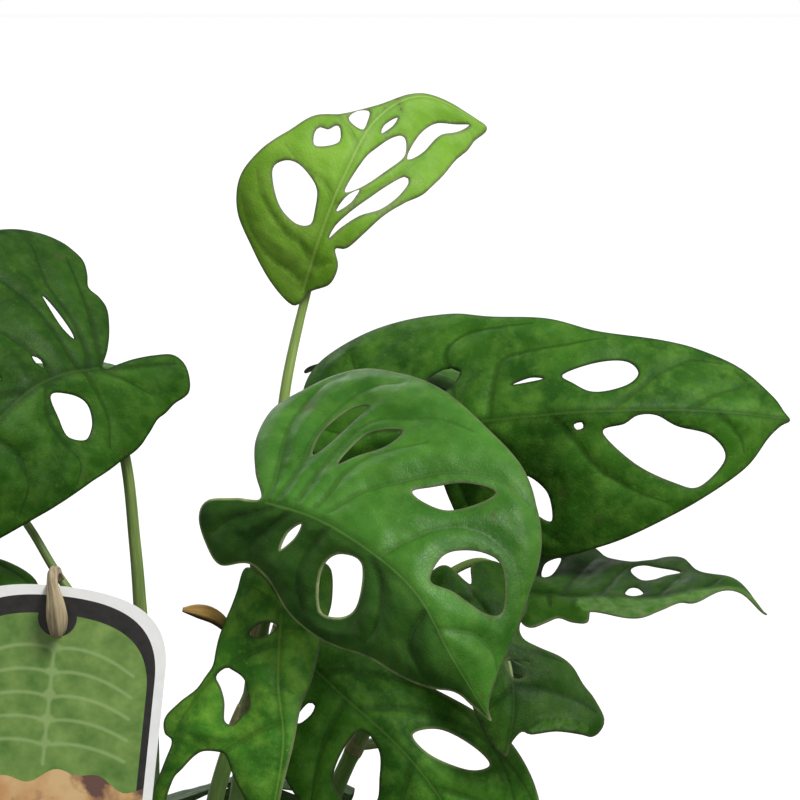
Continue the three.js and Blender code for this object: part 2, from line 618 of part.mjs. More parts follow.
function potSolid() {
  const wallAt = (z) => POT_BASE_RADIUS + ((POT_TOP_RADIUS - POT_BASE_RADIUS) * z) / POT_HEIGHT;
  const profile = [
    [0, 0], [POT_BASE_RADIUS - 2, 0], [POT_BASE_RADIUS, 2],
    [wallAt(POT_HEIGHT - RIM_DEPTH), POT_HEIGHT - RIM_DEPTH],
    [POT_TOP_RADIUS + RIM_REACH - 1.5, POT_HEIGHT - RIM_DEPTH],
    [POT_TOP_RADIUS + RIM_REACH, POT_HEIGHT - RIM_DEPTH + 1.5],
    [POT_TOP_RADIUS + RIM_REACH, POT_HEIGHT - 2], [POT_TOP_RADIUS + RIM_REACH - 2, POT_HEIGHT],
    [POT_TOP_RADIUS - POT_WALL + 1, POT_HEIGHT], [POT_TOP_RADIUS - POT_WALL, POT_HEIGHT - 1],
    [POT_BASE_RADIUS - POT_WALL, POT_FLOOR], [0, POT_FLOOR],
  ];
  const turned = new THREE.LatheGeometry(profile.map((p) => new THREE.Vector2(...p)), POT_SIDES);
  let pot = fromGeometry(turned.rotateX(Math.PI / 2));
  for (let i = 0; i < DRAIN_HOLES; i += 1) {
    const turn = ((i + 0.5) / DRAIN_HOLES) * 2 * Math.PI;
    const drill = new THREE.CylinderGeometry(DRAIN_RADIUS, DRAIN_RADIUS, 16, 10).rotateX(Math.PI / 2);
    drill.translate(Math.cos(turn) * POT_BASE_RADIUS * 0.93, Math.sin(turn) * POT_BASE_RADIUS * 0.93, 0);
    pot = pot.subtract(fromGeometry(drill));
  }
  return pot;
}

// The soil fills the pot up to just below its rim, with a crumbly top.
function soilSolid() {
  const rings = [0.3, 0.65, 1];
  const spokes = POT_SIDES;
  const bottom = POT_BASE_RADIUS - POT_WALL - SOIL_GAP;
  const top = bottom + ((POT_TOP_RADIUS - POT_BASE_RADIUS) * SOIL_LEVEL) / POT_HEIGHT;
  const vertices = [[0, 0, SOIL_LEVEL]];
  const faces = [];
  rings.forEach((share, ring) => {
    for (let k = 0; k < spokes; k += 1) {
      const turn = (k / spokes) * 2 * Math.PI;
      const lift = share < 1 ? SOIL_BUMP * wobble(ring + 1, k) : -1;
      vertices.push([Math.cos(turn) * top * share, Math.sin(turn) * top * share, SOIL_LEVEL + lift]);
    }
  });
  for (let k = 0; k < spokes; k += 1) {
    const turn = (k / spokes) * 2 * Math.PI;
    vertices.push([Math.cos(turn) * bottom, Math.sin(turn) * bottom, POT_FLOOR + GAP]);
  }
  const centre = vertices.length;
  vertices.push([0, 0, POT_FLOOR + GAP]);
  for (let k = 0; k < spokes; k += 1) {
    const next = (k + 1) % spokes;
    faces.push([0, 1 + k, 1 + next]);
    for (let ring = 0; ring < rings.length; ring += 1) {
      const [a, b] = [1 + ring * spokes + k, 1 + ring * spokes + next];
      faces.push([a, a + spokes, b + spokes], [a, b + spokes, b]);
    }
    const last = 1 + rings.length * spokes;
    faces.push([last + k, centre, last + next]);
  }
  let soil = solid(vertices, faces);
  for (const name of Object.keys(STEMS)) soil = soil.subtract(stemSolid(name, GAP, STEM_SIDES));
  return soil;
}

// The tag is a plain plate with a round top, hung by a hole; the tie is a flat band through the hole.
function tagFrame(geometry) {
  geometry.rotateX(Math.PI / 2);
  geometry.rotateY(radians(TAG_TILT));
  geometry.translate(...TAG_HANGS_FROM);
  return geometry;
}

function tagSolid() {
  const [half, top, bottom] = [TAG_WIDTH / 2, TAG_HOLE_DROP, TAG_HOLE_DROP - TAG_HEIGHT];
  const outline = new THREE.Shape();
  outline.moveTo(-half, bottom + TAG_CORNER * 0.6);
  outline.quadraticCurveTo(-half, bottom, -half + TAG_CORNER * 0.6, bottom);
  outline.lineTo(half - TAG_CORNER * 0.6, bottom);
  outline.quadraticCurveTo(half, bottom, half, bottom + TAG_CORNER * 0.6);
  outline.lineTo(half, top - TAG_CORNER);
  outline.bezierCurveTo(half, top - 6, half - 14, top, 0, top);
  outline.bezierCurveTo(14 - half, top, -half, top - 6, -half, top - TAG_CORNER);
  outline.closePath();
  const hole = new THREE.Path();
  hole.absarc(0, 0, TAG_HOLE_RADIUS, 0, 2 * Math.PI, true);
  outline.holes.push(hole);
  const settings = { depth: TAG_THICKNESS, bevelEnabled: false, curveSegments: 8 };
  return fromGeometry(tagFrame(new THREE.ExtrudeGeometry(outline, settings)));
}

// The papery tie: from the hole's front up to the thin petiole behind it, and round that petiole.
const TIE_LINE = [
  [-33.5, -55, 252], [-33.5, -60.5, 252], [-33.5, -65, 255],
  [-33.5, -65, 263], [-33, -60, 270], [-32.5, -50, 275],
];

function tieSolid() {
  return tubeSolid(smoothLine(TIE_LINE, 12), (t) => 1.6 + 1.4 * Math.sin(Math.PI * Math.min(1, t * 1.1)), 8);
}

// The bud sheath: a brown papery scale that points left from the middle stem.
const SHEATH_LINE = [[25, -6, 236], [20, -10, 243], [14, -13, 247], [9, -14, 248]];

function sheathSolid() {
  return tubeSolid(smoothLine(SHEATH_LINE, 8), (t) => 0.5 + 2.2 * Math.sin(Math.PI * (0.1 + 0.85 * t)), 8);
}

// A three.js geometry as a closed solid: positions that agree are one vertex, empty triangles go.
function fromGeometry(geometry) {
  const position = geometry.attributes.position;
  const count = geometry.index ? geometry.index.count : position.count;
  const keys = new Map();
  const vertices = [];
  const faces = [];
  const pick = (i) => {
    const at = geometry.index ? geometry.index.getX(i) : i;
    const p = [position.getX(at), position.getY(at), position.getZ(at)];
    const key = p.map((v) => Math.round(v * 1e4)).join();
    if (!keys.has(key)) {
      keys.set(key, vertices.length);
      vertices.push(p);
    }
    return keys.get(key);
  };
  for (let i = 0; i < count; i += 3) {
    const face = [pick(i), pick(i + 1), pick(i + 2)];
    if (new Set(face).size === 3) faces.push(face);
  }
  return solid(vertices, faces);
}

function toGeometry(manifold) {
  const mesh = manifold.getMesh();
  const geometry = new THREE.BufferGeometry();
  const positions = new Float32Array(mesh.numVert * 3);
  for (let i = 0; i < mesh.numVert; i += 1) {
    for (let k = 0; k < 3; k += 1) positions[i * 3 + k] = mesh.vertProperties[i * mesh.numProp + k];
  }
  geometry.setAttribute("position", new THREE.BufferAttribute(positions, 3));
  geometry.setIndex(new THREE.BufferAttribute(new Uint32Array(mesh.triVerts), 1));
  geometry.computeVertexNormals();
  return geometry;
}

function addPiece(group, name, manifold, colour, roughness) {
  const material = new THREE.MeshStandardMaterial({ color: colour, roughness, metalness: 0 });
  const mesh = new THREE.Mesh(toGeometry(manifold), material);
  mesh.name = name;
  group.add(mesh);
}

const plant = new THREE.Group();
addPiece(plant, "pot", potSolid(), 0x3a3d3f, 0.5);
addPiece(plant, "soil", soilSolid(), 0x2b211a, 0.95);
for (const name of Object.keys(STEMS)) addPiece(plant, name, stemSolid(name, 0, STEM_SIDES), 0x6f8a3a, 0.5);
for (const leaf of [...DRAWN, ...GROWN.map(grow)]) {
  const blade = new Blade(leaf);
  let whole = bladeSolid(blade).add(petioleSolid(blade));
  for (const name of Object.keys(STEMS)) whole = whole.subtract(stemSolid(name, GAP, STEM_SIDES));
  const pieces = whole.decompose().sort((a, b) => b.volume() - a.volume());
  addPiece(plant, leaf.name, pieces[0], leaf.colour, 0.45);
}
addPiece(plant, "tag", tagSolid(), 0xf2f2ee, 0.4);
addPiece(plant, "tag_tie", tieSolid(), 0xc8b58c, 0.8);
addPiece(plant, "bud_sheath", sheathSolid(), 0x8a5a32, 0.8);

export default plant;
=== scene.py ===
"""A potted swiss cheese vine: holed leaves, vine stems, potting soil, a nursery pot and a plain plant tag.

Lengths are millimetres until a mesh is made. +Z is up, and the origin is the centre of the pot's base.
"""
import math

import bpy
import numpy as np
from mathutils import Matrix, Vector
from mathutils.geometry import delaunay_2d_cdt


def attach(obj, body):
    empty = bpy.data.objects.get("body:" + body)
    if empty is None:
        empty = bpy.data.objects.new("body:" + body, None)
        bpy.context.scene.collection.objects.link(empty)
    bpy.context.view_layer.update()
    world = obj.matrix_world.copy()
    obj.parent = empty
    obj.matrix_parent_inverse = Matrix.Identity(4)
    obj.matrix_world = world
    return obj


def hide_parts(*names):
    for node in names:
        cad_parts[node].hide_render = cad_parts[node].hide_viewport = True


MM = 0.001

# The view: what the camera looks at, how far off it is, how far it looks down, and its lens.
VIEW_CENTRE = (86.4, 0.0, 324.0)
VIEW_DISTANCE = 2000.0
VIEW_PITCH = 4.0
VIEW_LENS = 250.0

# The pot and the soil, as the frame has them.
POT_HEIGHT = 130.0
POT_BASE_RADIUS = 53.0
POT_TOP_RADIUS = 70.0
POT_WALL = 1.6
POT_FLOOR = (3.2, 4.8)
RIM_REACH = 5.0
RIM_DEPTH = 9.0
DRAIN_HOLES = 8
DRAIN_RADIUS = 6.0
FLUTES = 24
FLUTE_DEPTH = 0.45
FLUTED = (18, 90)
BANDS = (96, 14)
BAND_DEPTH = 0.35
BAND_WIDTH = 2.2
SOIL_LEVEL = 116.0
SOIL_DEPTH = 8.0
SOIL_RINGS = 48
SOIL_SPOKES = 150
CRUMBS = 900
BARK_EVERY = 5
PERLITE_EVERY = 17

# The sheet of a blade and how finely it is meshed.
BLADE_THICKNESS = 0.5
LIP = 0.3
RULING_STIFFNESS = 0.6
CURL_REACH = 60.0
EDGE_STEP = 1.3
INNER_STEP = 1.35

# The relief of a blade: grooves along the midrib and the side veins, quilting between them, uneven ground
# (height, wave, seed), the fall at the edge, and the roll where a margin is turned over.
RIB_GROOVE = (0.9, 0.3)
RIB_GROOVE_WIDTH = 1.4
VEIN_GROOVE = 0.6
VEIN_GROOVE_WIDTH = 1.0
VEIN_FADE = 0.75
VEIN_END = 3.5
RIB_THINS = 0.55
QUILT_HEIGHT = 1.35
QUILT_REACH = 4.6
EDGE_REACH = 5.0
UNEVEN = [(0.45, 24, 0), (0.16, 7, 3)]
EDGE_FALL = 0.25
TURNED_ROLL = 0.8
ROLL_WIDTH = 1.3
FAR = 6.0

# A grown leaf: its outline and holes as shares of its length and half its width, and its side veins (foot on
# the midrib, degrees to it).
HEART = [
    (0.0, 0.03), (-0.13, 0.2), (-0.2, 0.5), (-0.12, 0.84), (0.08, 1.0),
    (0.34, 0.95), (0.58, 0.74), (0.78, 0.44), (0.92, 0.15),
]
HOLE_FEET = [0.1, 0.32, 0.54]
HOLE_ANGLE = 58
HOLE_CORNERS = 7
HOLE_KEPT = -0.55
SIDE_VEINS = [(0.0, 148), (0.01, 112), (0.2, 74), (0.42, 66), (0.64, 58), (0.82, 48)]
VEIN_STEP = 3.0
VEIN_BEND = 2.3

# A petiole: the share of its line where it reaches the blade, its way under the midrib (share of the blade,
# drop), and its wings, channel and knee (size against the radius, place, width).
PETIOLE_SIDES = 14
UNDER_BLADE = 0.6
UNDER_RIB = [(0.02, 4.8), (0.16, 3.6), (0.34, 2.6), (0.52, 2.0), (0.7, 1.5)]
RIB_TAPER = 0.62
WING = (0.45, 55, 16)
WING_REACH = 0.28
CHANNEL = (0.16, 0, 34)
KNEE = (0.16, UNDER_BLADE - 0.03, 0.02)

# A stem's node: the knot, the leaf scar below it (size, place, width), and its papery sleeve.
KNOT = (0.14, 0.0, 0.018)
LEAF_SCAR = (0.07, -0.03, 0.006)
SLEEVE_LENGTH = 11

# The plant tag, its hole, and what is printed on it.
TAG_WIDTH = 79.0
TAG_HEIGHT = 98.0
TAG_CORNER = 26.0
TAG_THICKNESS = 0.8
TAG_BOW = 0.25
TAG_HOLE_RADIUS = 3.6
TAG_HOLE_DROP = 11.0
TAG_HANGS_FROM = (-33.5, -60.0, 252.0)
TAG_TILT = 6.0
TAG_BORDER = 3.4
TAG_FIELD = 0.93
TAG_COLLAR = 1.9
TAG_FOOT_LINE = -56.0
TAG_LINES = 5
TAG_LINE_PITCH = 8.5

# The tie, and the bud scale, each along its middle.
TIE_LINE = [
    (-33.5, -56, 252), (-33.4, -61, 249.5), (-33.2, -65, 247.5), (-33.2, -66.5, 252), (-33.8, -66.5, 258),
    (-35, -62, 263), (-36, -45, 266), (-36.2, -24, 264.5), (-35.6, -17, 261.5),
]
SCALE_LINE = [(26, -6, 240), (20, -10, 246), (14, -13, 248.5), (8.5, -14, 249.5)]

# The studio: the floor's reach in metres, the lights (name, strength, softness, turn), and the sky's level
# from straight down to straight up, with a white band at the horizon.
FLOOR_REACH = 400.0
LIGHTS = [("key", 3.3, 26.0, (45.0, 0.0, 40.0)), ("back", 0.9, 40.0, (55.0, 0.0, 205.0))]
SKY = [(0.0, 0.16), (0.49, 0.18), (0.499, 1.0), (0.55, 1.0), (0.66, 0.34), (1.0, 0.36)]

# The vine stems: radius at the root and the top, and points on the centre line from the root up.
STEMS = {
    "stem_left": ((3.6, 2.8), [(-13, -8, 60), (-11, -8, 116), (-4, -6, 170), (-4, -4, 215), (-7, -2, 244)]),
    "stem_mid": ((4.2, 2.6), [(16, 4, 60), (18, 4, 116), (28, 3, 180), (35, 6, 235), (41, 8, 290)]),
    "stem_right": ((3.8, 2.4), [(38, 14, 60), (41, 14, 116), (62, 15, 178), (79, 15, 215), (93, 17, 258)]),
    "stem_back": ((3.8, 2.4), [(6, 36, 60), (8, 38, 116), (20, 54, 180), (42, 60, 235), (62, 62, 276)]),
    "stem_low": ((3.4, 2.4), [(-36, 16, 60), (-38, 18, 116), (-52, 28, 165), (-62, 34, 200), (-66, 38, 226)]),
}

# The leaves that the view shows, one by one. rib: the midrib from the joint to the tip. faces: what the
# upper side looks at, at the joint and at the tip. fold and curl: degrees, for the left and the right half
# seen with the tip ahead. edge, holes and veins: flat outlines, (along the midrib, across it), right half
# positive; feet: side veins grown from (share of the midrib, side, degrees). quilt: how far the blade stands
# up between its veins. Per half, left and right: a colour factor that is partly the leaf's own tone and
# partly painted light and shade, lighter or darker as the light falls on that half or leaf, and pale, the
# paleness
# of the margin. scars: spots (along, across, size). turned: the part of the blade that shows its lower side.
DRAWN = [
    {
        "name": "leaf_lime", "stem": "stem_mid", "foot": 0.98, "via": [(45, 7, 328)],
        "radius": (1.9, 1.5),
        "rib": [
            (51, 2, 362), (58, -6, 384), (66, -6, 404), (78, 4, 425), (95, 16, 433), (117, 22, 423),
        ],
        "faces": [(-0.25, -1, 0.25), (0.1, -0.75, 0.6)], "fold": (8, -28), "curl": (-14, 18),
        "edge": [
            (-4, 0), (-6, -4), (-3, -14), (4, -25), (12, -34), (24, -37), (37, -33), (49, -26),
            (59, -20), (66, -11), (74, -5), (83, -2), (98, -1.5), (111, -1.5), (121, 1), (113, 10),
            (106, 18), (95, 26), (79, 31), (64, 30), (54, 24.5), (46, 20), (34, 15), (26, 11), (23, 7),
            (18, 10), (10, 9), (3, 3),
        ],
        "holes": [
            [
                (34, -26), (39, -23), (41, -18), (40, -12), (37, -7), (30, -5), (25, -5), (22, -10),
                (23, -17), (27, -22),
            ],
            [(54, -17), (57, -16), (58, -13), (61, -11), (61, -9), (57, -7), (53, -10), (50, -15)],
            [(66, -8.5), (70, -7.5), (73, -4), (70, -2), (66, -1.5), (65, -5)],
            [(70, 5), (73, 3.5), (80, 4.5), (76, 6)],
            [(43, 2.5), (57, 4), (65, 6.5), (76, 10.5), (74, 15), (68, 16.5), (56, 12), (47, 7)],
            [(70, 18), (81, 14.5), (91, 12), (104, 8), (113, 4), (102, 12.5), (81, 20)],
            [(35, 2.5), (42, 4), (47, 7.5), (42, 7), (37, 4.5)],
            [
                (25, 3.5), (30, 4), (37, 7), (46, 11.5), (55, 16), (63, 20.5), (62, 23), (54, 21.5),
                (46, 17.5), (39, 11.5), (31, 6.5),
            ],
        ],
        "veins": [
            [(14, 0), (17, -6), (17, -13), (20, -21), (24, -27), (30, -31)],
            [(4, 0), (5, -7), (5, -16), (8, -24), (13, -30), (19, -34)],
            [(38, 0), (41, -7), (41, -12), (42, -18), (44, -25)],
            [(59, 0), (62, -5), (64, -10), (64, -14)],
            [(35, 1), (46, 9), (60, 18), (77, 22)],
            [(8, 0), (14, 3), (18, 7)],
        ],
        "quilt": 0.6, "tint": (1.15, 1.15), "pale": (0.4, 0.4),
        "scars": [(84, 1, 1.3), (83, 3, 1.0), (85, -1, 1.2), (78, -1, 0.8)],
    },
    {
        "name": "leaf_right", "stem": "stem_right", "foot": 0.97, "via": [(88, 25, 286)],
        "radius": (2.2, 1.7),
        "rib": [(95, 16, 311), (117, 6, 316), (154, -2, 320), (193, 4, 320), (229, 18, 316)],
        "faces": [(0, -1, 0.3), (0.1, -0.9, 0.45)], "fold": (-18, -28), "curl": (-10, -8),
        "edge": [
            (0, 9), (-5, 16), (-16, 18), (-32, 14), (-44, 3), (-50, -14), (-50, -30), (-43, -41),
            (-27, -49), (-10, -52), (10, -51), (27, -47), (49, -44), (69, -37), (94, -33), (109, -29),
            (124, -22), (135, -10), (138.5, -3), (140.6, 0.8), (137, 3), (132, 8), (123, 20), (105, 33),
            (82, 45), (65, 51), (46, 54), (25, 50), (11, 40), (6, 27), (3, 12),
        ],
        "holes": [
            [(1, -22), (9, -26), (15, -23), (9, -16)],
            [
                (54, -17), (63, -21), (73, -23), (80, -22), (83, -17), (79, -12), (71, -9), (64, -9),
                (58, -13),
            ],
            [(35, -14.5), (42, -17), (47, -16), (42, -15)],
            [
                (68, 8), (76, 5), (81, 2), (88, 2), (96, 6), (109, 9), (115, 17), (105, 28), (95, 27),
                (80, 20),
            ],
            [(38, 22), (46, 29), (47, 40), (41, 37), (38, 31)],
            [(57.5, 4.5), (60.5, 3.8), (61, 6), (58.5, 6.6)],
        ],
        "veins": [
            [(14, 0), (11, -20), (9, -33), (17, -40), (31, -41), (43, -42)],
            [(26, 0), (28, -15), (32, -26), (43, -29), (57, -31), (72, -33)],
            [(70, 0), (83, -10), (88, -15), (95, -19), (104, -23), (116, -23)],
            [(50, 1), (56, 8), (61, 15), (67, 22), (75, 27), (83, 31), (92, 34)],
            [(22, 1), (29, 10), (35, 22), (41, 40), (50, 48)],
            [(2, -2), (-12, -14), (-26, -28), (-30, -40)],
            [(2, -1), (-16, -4), (-32, -6), (-42, -10)],
            [(100, 0), (112, -8), (122, -12)],
            [(6, 3), (10, 18), (16, 34), (26, 44)],
            [(112, 1), (120, 8), (122, 14)],
        ],
        "quilt": 0.8, "tint": (1.15, 1.15), "pale": (0.0, 0.1),
        "scars": [(52, 30, 1.4), (66, 40, 1.2), (96, 22, 1.0)],
    },
    {
        "name": "leaf_front", "stem": "stem_mid", "foot": 0.72, "via": [(34, 3, 266), (35, -16, 281)],
        "radius": (2.1, 1.7),
        "rib": [
            (38, -42, 291), (58, -58, 286), (79, -72, 274), (93, -80, 261), (104, -82, 241),
            (118, -72, 217),
        ],
        "faces": [(-0.1, -1, 0.34), (0.05, -1, 0.25)], "fold": (-12, -32), "curl": (-8, -14),
        "edge": [
            (-2, -1), (-13, -11), (-24, -24), (-29, -39), (-25, -51), (-19, -62), (-10, -69), (4, -71),
            (23, -70), (44, -66), (64, -62), (80, -53), (95, -42), (108, -27), (114, -15), (122, -3),
            (128, 0), (119, 3), (110, 6), (101, 15), (84, 27), (57, 39), (35, 39), (14, 28), (4, 25),
            (-7, 29), (-17, 22), (-24, 13), (-23, 6), (-12, 2),
        ],
        "holes": [
            [(1.5, -25), (-3, -36), (-1, -49), (5, -52), (5, -40), (4, -29)],
            [(14.5, -24), (13.5, -32), (15, -41), (24, -47), (24, -38), (18, -29)],
            [(44, -28), (48, -34), (55, -43), (64, -48), (63, -39), (58, -30), (50, -27)],
            [(73, -7), (69, -16), (72, -24), (80, -32), (88, -31), (98, -25), (94, -19), (81, -12)],
            [(16, 16), (16, 9), (20, 4), (20, 10)],
            [(37, 13), (41, 7), (50, 6), (57, 19), (55, 27), (46, 31), (39, 22)],
        ],
        "veins": [
            [(1, -1), (-3, -10), (-9, -20), (-15, -31), (-19, -44), (-19, -56), (-15, -63)],
            [(5, -1), (3, -10), (1, -20), (-4, -33), (-5, -48), (-1, -60), (9, -66)],
            [(13, -2), (11, -15), (10, -27), (10, -38), (13, -47), (22, -52), (31, -58), (43, -61)],
            [(21, -3), (21, -12), (20, -21), (22, -30), (29, -40), (35, -47)],
            [(26, -3), (31, -18), (38, -28), (46, -40), (55, -48), (65, -53), (74, -54)],
            [(54, -1), (57, -12), (62, -24), (69, -32), (78, -36), (88, -37), (98, -34)],
            [(88, 0), (92, -6), (98, -12), (108, -14), (114, -12)],
            [(5, 1), (-2, 6), (-10, 10), (-15, 17)],
            [(13, 1), (8, 9), (4, 14), (2, 20), (5, 24)],
            [(31, 1), (29, 9), (28, 16), (31, 26), (39, 34)],
            [(52, 2), (60, 7), (66, 14), (70, 22), (70, 28)],
            [(80, 1), (82, 9), (86, 13), (94, 13), (101, 12)],
        ],
        "quilt": 1.4, "tint": (0.95, 0.6), "pale": (0.25, 1.0),
        "scars": [(118, -2, 1.0), (20, 38, 1.6), (-16, -44, 2.4), (70, -40, 1.0), (96, -20, 0.9)],
    },
    {
        "name": "leaf_left", "stem": "stem_left", "foot": 0.99, "via": [(-9, -1, 272), (-13, -2, 306)],
        "radius": (2.5, 1.8),
        "rib": [
            (-20, -18, 337), (-34, -30, 335), (-47, -42, 328), (-63, -50, 310), (-80, -46, 283),
            (-92, -36, 264),
        ],
        "faces": [(0.1, -1, 0.28), (-0.1, -1, 0.2)], "fold": (-20, -8), "curl": (-12, -8),
        "edge": [
            (-1, 0.5), (-8, 7), (-15, 15), (-21, 24), (-22, 30), (-21, 35), (-25, 41), (-28, 47),
            (-28, 52), (-26, 58), (-20, 64), (-9, 68), (12, 68), (30, 64), (53, 56), (76, 45), (96, 31),
            (112, 14), (121, 0), (107, -9), (93, -18), (83, -25), (62, -35), (42, -40), (24, -40),
            (6, -35), (-4, -29), (-11, -24), (-16, -22), (-22, -19), (-30, -16), (-34, -10), (-35, -4),
            (-32, 0), (-25, 1), (-16, 1), (-8, 0), (-3, -1),
        ],
        "holes": [
            [(0, 35), (-1, 30), (0, 18), (2, 14), (3, 21)],
            [(28, -6), (23, -6), (15, -12), (17, -20), (25, -26), (33, -22), (31, -14)],
            [(38, 10), (47, 20), (60, 44), (50, 44), (40, 24)],
            [(64, 8), (74, 14), (82, 28), (72, 30), (65, 17)],
            [(79, -4), (88, -5), (91, -8), (85, -13), (77, -10)],
            [(22, 11.5), (20.3, 10), (20.3, 7), (22, 5), (23, 8)],
        ],
        "veins": [
            [(-1, 1), (-6, 11), (-12, 23), (-16, 33), (-19, 41), (-22, 50)],
            [(5, 1), (0, 10), (-4, 24), (-5, 36), (-8, 47), (-12, 58)],
            [(10, 1), (8, 14), (8, 28), (11, 42), (18, 56)],
            [(21, 1), (21, 12), (24, 24), (30, 38), (40, 52)],
            [(36, 1), (45, 8), (54, 20), (64, 36), (70, 42)],
            [(62, 1), (72, 6), (82, 14), (92, 26)],
            [(0, -2), (-7, -7), (-14, -14)],
            [(0, -1), (-12, -2), (-25, -3), (-31, -4)],
            [(8, -1), (8, -12), (10, -22), (17, -32)],
            [(24, -1), (28, -3), (35, -12), (37, -22), (37, -32), (45, -37)],
            [(56, -1), (54, -11), (56, -18), (61, -24), (72, -27)],
            [(76, -1), (80, -2), (94, -5), (102, -7)],
        ],
        "quilt": 1.0, "tint": (0.82, 0.6), "pale": (0.0, 0.0),
        "scars": [(10, -34, 1.2), (-18, 50, 1.4), (40, -37, 1.0)],
    },
    {
        "name": "leaf_hanging", "stem": "stem_mid", "foot": 0.66, "via": [(40, -4, 250)],
        "radius": (1.9, 1.5),
        "rib": [(44, -22, 250), (43, -34, 227), (45, -42, 206), (42, -44, 185), (37, -38, 162)],
        "faces": [(0.05, -1, 0.25), (0, -1, 0)], "fold": (-4, -24), "curl": (-10, -16),
        "edge": [
            (-3, -2), (-13, -5), (-20, -11), (-18, -17), (-6, -18), (4, -16), (10, -15), (26, -12),
            (37, -7), (48, -4), (61, -2.2), (76, -1.6), (90, -1.2), (94, 0), (90, 12), (93, 24),
            (94, 36), (90, 47), (81, 51), (61, 48), (50, 46), (44, 49), (37, 48), (32, 41), (28, 33),
            (24, 29), (20, 26), (14, 25), (9, 24), (3, 22), (-2, 20), (-8, 18), (-17, 15), (-13, 7),
        ],
        "holes": [
            [(9, 12), (5.5, 10), (4, 6), (5, 1.5), (8, 3), (10, 7)],
            [
                (21, 21), (22, 18), (26, 13), (35, 12), (39, 16), (42, 20), (40, 23), (33, 22),
                (28, 23), (24, 25),
            ],
            [
                (54, 32), (54, 25), (56, 22), (63, 18), (72, 11), (76, 8), (81, 13), (85, 22), (86, 32),
                (84, 41), (79, 44), (68, 43), (63, 40), (57, 36),
            ],
        ],
        "feet": [(0.0, 1, 140), (0.13, 1, 74), (0.44, 1, 70), (0.3, -1, 60), (0.06, -1, 90)],
        "quilt": 1.2, "tint": (1.45, 1.45), "pale": (0.4, 0.1),
    },
    {
        "name": "leaf_tip_down", "stem": "stem_right", "foot": 0.82, "via": [(100, 4, 252)],
        "radius": (1.7, 1.3),
        "rib": [(111, -14, 257), (123, -24, 240), (127, -31, 219), (124, -34, 199)],
        "faces": [(0.2, -1, 0.5), (0, -1, 0.2)], "fold": (-14, -10), "curl": (-10, -30),
        "edge": [
            (-2, -2), (-10, -8), (-9, -18), (2, -22), (12, -17), (19, -9), (24, -8), (28, -13),
            (32, -20), (36, -24), (42, -27), (47, -31), (53, -35), (57, -34), (59, -31), (58, -26),
            (57, -17), (58, -8), (57, -4), (61, -1.2), (66, 0), (60, 7), (51, 13), (42, 16), (29, 18),
            (14, 21), (-1, 17), (-10, 10), (-12, 2),
        ],
        "holes": [
            [(31, 1), (31, -2), (33, -8), (38, -4), (37, 0)],
        ],
        "feet": [(0.4, -1, 76), (0.62, -1, 84), (0.05, 1, 88), (0.3, 1, 68), (0.62, 1, 56)],
        "quilt": 0.7, "tint": (0.5, 0.7), "pale": (0.1, 0.2),
        "turned": [(58, -5), (54, -9), (53, -17), (54.5, -25), (57, -29), (61, -26), (60, -10)],
    },
    {
        "name": "leaf_lower", "stem": "stem_mid", "foot": 0.52, "via": [(42, 2, 226)],
        "radius": (1.9, 1.5),
        "rib": [(50, -8, 233), (68, -16, 217), (85, -20, 202), (99, -20, 185), (115, -12, 158)],
        "faces": [(0, -1, 0.45), (0.1, -1, 0.15)], "fold": (-10, -14), "curl": (-12, -14),
        "edge": [
            (-4, -2), (0, -9), (15, -17), (42, -25), (62, -32), (78, -35), (94, -34), (106, -29),
            (113, -18), (117, -8), (122, 0), (108, 11), (90, 23), (72, 33), (52, 40), (34, 38),
            (19, 30), (6, 19), (-3, 6),
        ],
        "holes": [
            [(15.6, 10.5), (18, 9.5), (19.5, 13), (19, 18), (17, 19), (15.8, 15)],
            [(50, -7), (55, -16), (68, -22), (77, -23), (73, -15), (60, -7)],
            [(36, 5), (46, 6), (54, 13), (60, 20), (55, 28), (43, 26), (37, 16)],
        ],
        "feet": [
            (0.06, 1, 82), (0.24, 1, 78), (0.56, 1, 60), (0.76, 1, 52), (0.1, -1, 50), (0.3, -1, 52),
            (0.68, -1, 44), (0.84, -1, 50),
        ],
        "quilt": 0.9, "tint": (1.6, 1.5), "pale": (0.5, 0.1),
    },
    {
        "name": "leaf_edgewise", "stem": "stem_right", "foot": 0.95, "via": [(116, 17, 264)],
        "radius": (1.7, 1.3),
        "rib": [(133, 6, 254), (156, -2, 253), (179, -4, 253), (207, 4, 256), (219, 12, 245)],
        "faces": [(-0.05, -0.3, 1), (0.1, -0.3, 1)], "fold": (2, -10), "curl": (6, -18), "wave": (3, 3),
        "edge": [
            (-2, -3), (-6, -14), (-5, -28), (3, -37), (14, -42), (23, -43), (29, -34), (39, -29),
            (49, -31), (57, -32), (63, -27), (66, -16), (71, -11), (80, -8), (88, -4), (96, 0), (86, 3),
            (72, 2.5), (61, 7), (55, 5), (48, 8), (41, 12), (34, 12), (28, 10), (24, 10), (23, 16),
            (18, 16), (13, 14), (9, 17), (4, 21), (0, 20), (-3, 12),
        ],
        "holes": [
            [(39, -21), (40, -25), (47, -27), (55, -23), (60, -17), (54, -17), (48, -15), (43, -15)],
            [(36, -4), (38, -9), (41, -9), (43, -4), (39, -2)],
            [(3, -17), (4, -25), (9, -29), (9, -23), (7, -15), (4, -13)],
        ],
        "feet": [
            (0.14, -1, 84), (0.28, -1, 76), (0.5, -1, 56), (0.7, -1, 46), (0.08, 1, 80), (0.32, 1, 60),
        ],
        "quilt": 0.6, "tint": (0.5, 0.6), "pale": (0.0, 0.2),
        "turned": [
            (22, 1), (50, 0.6), (90, 0.6), (97, 0), (86, 5), (61, 9), (41, 14), (30, 12), (20, 9),
        ],
    },
]

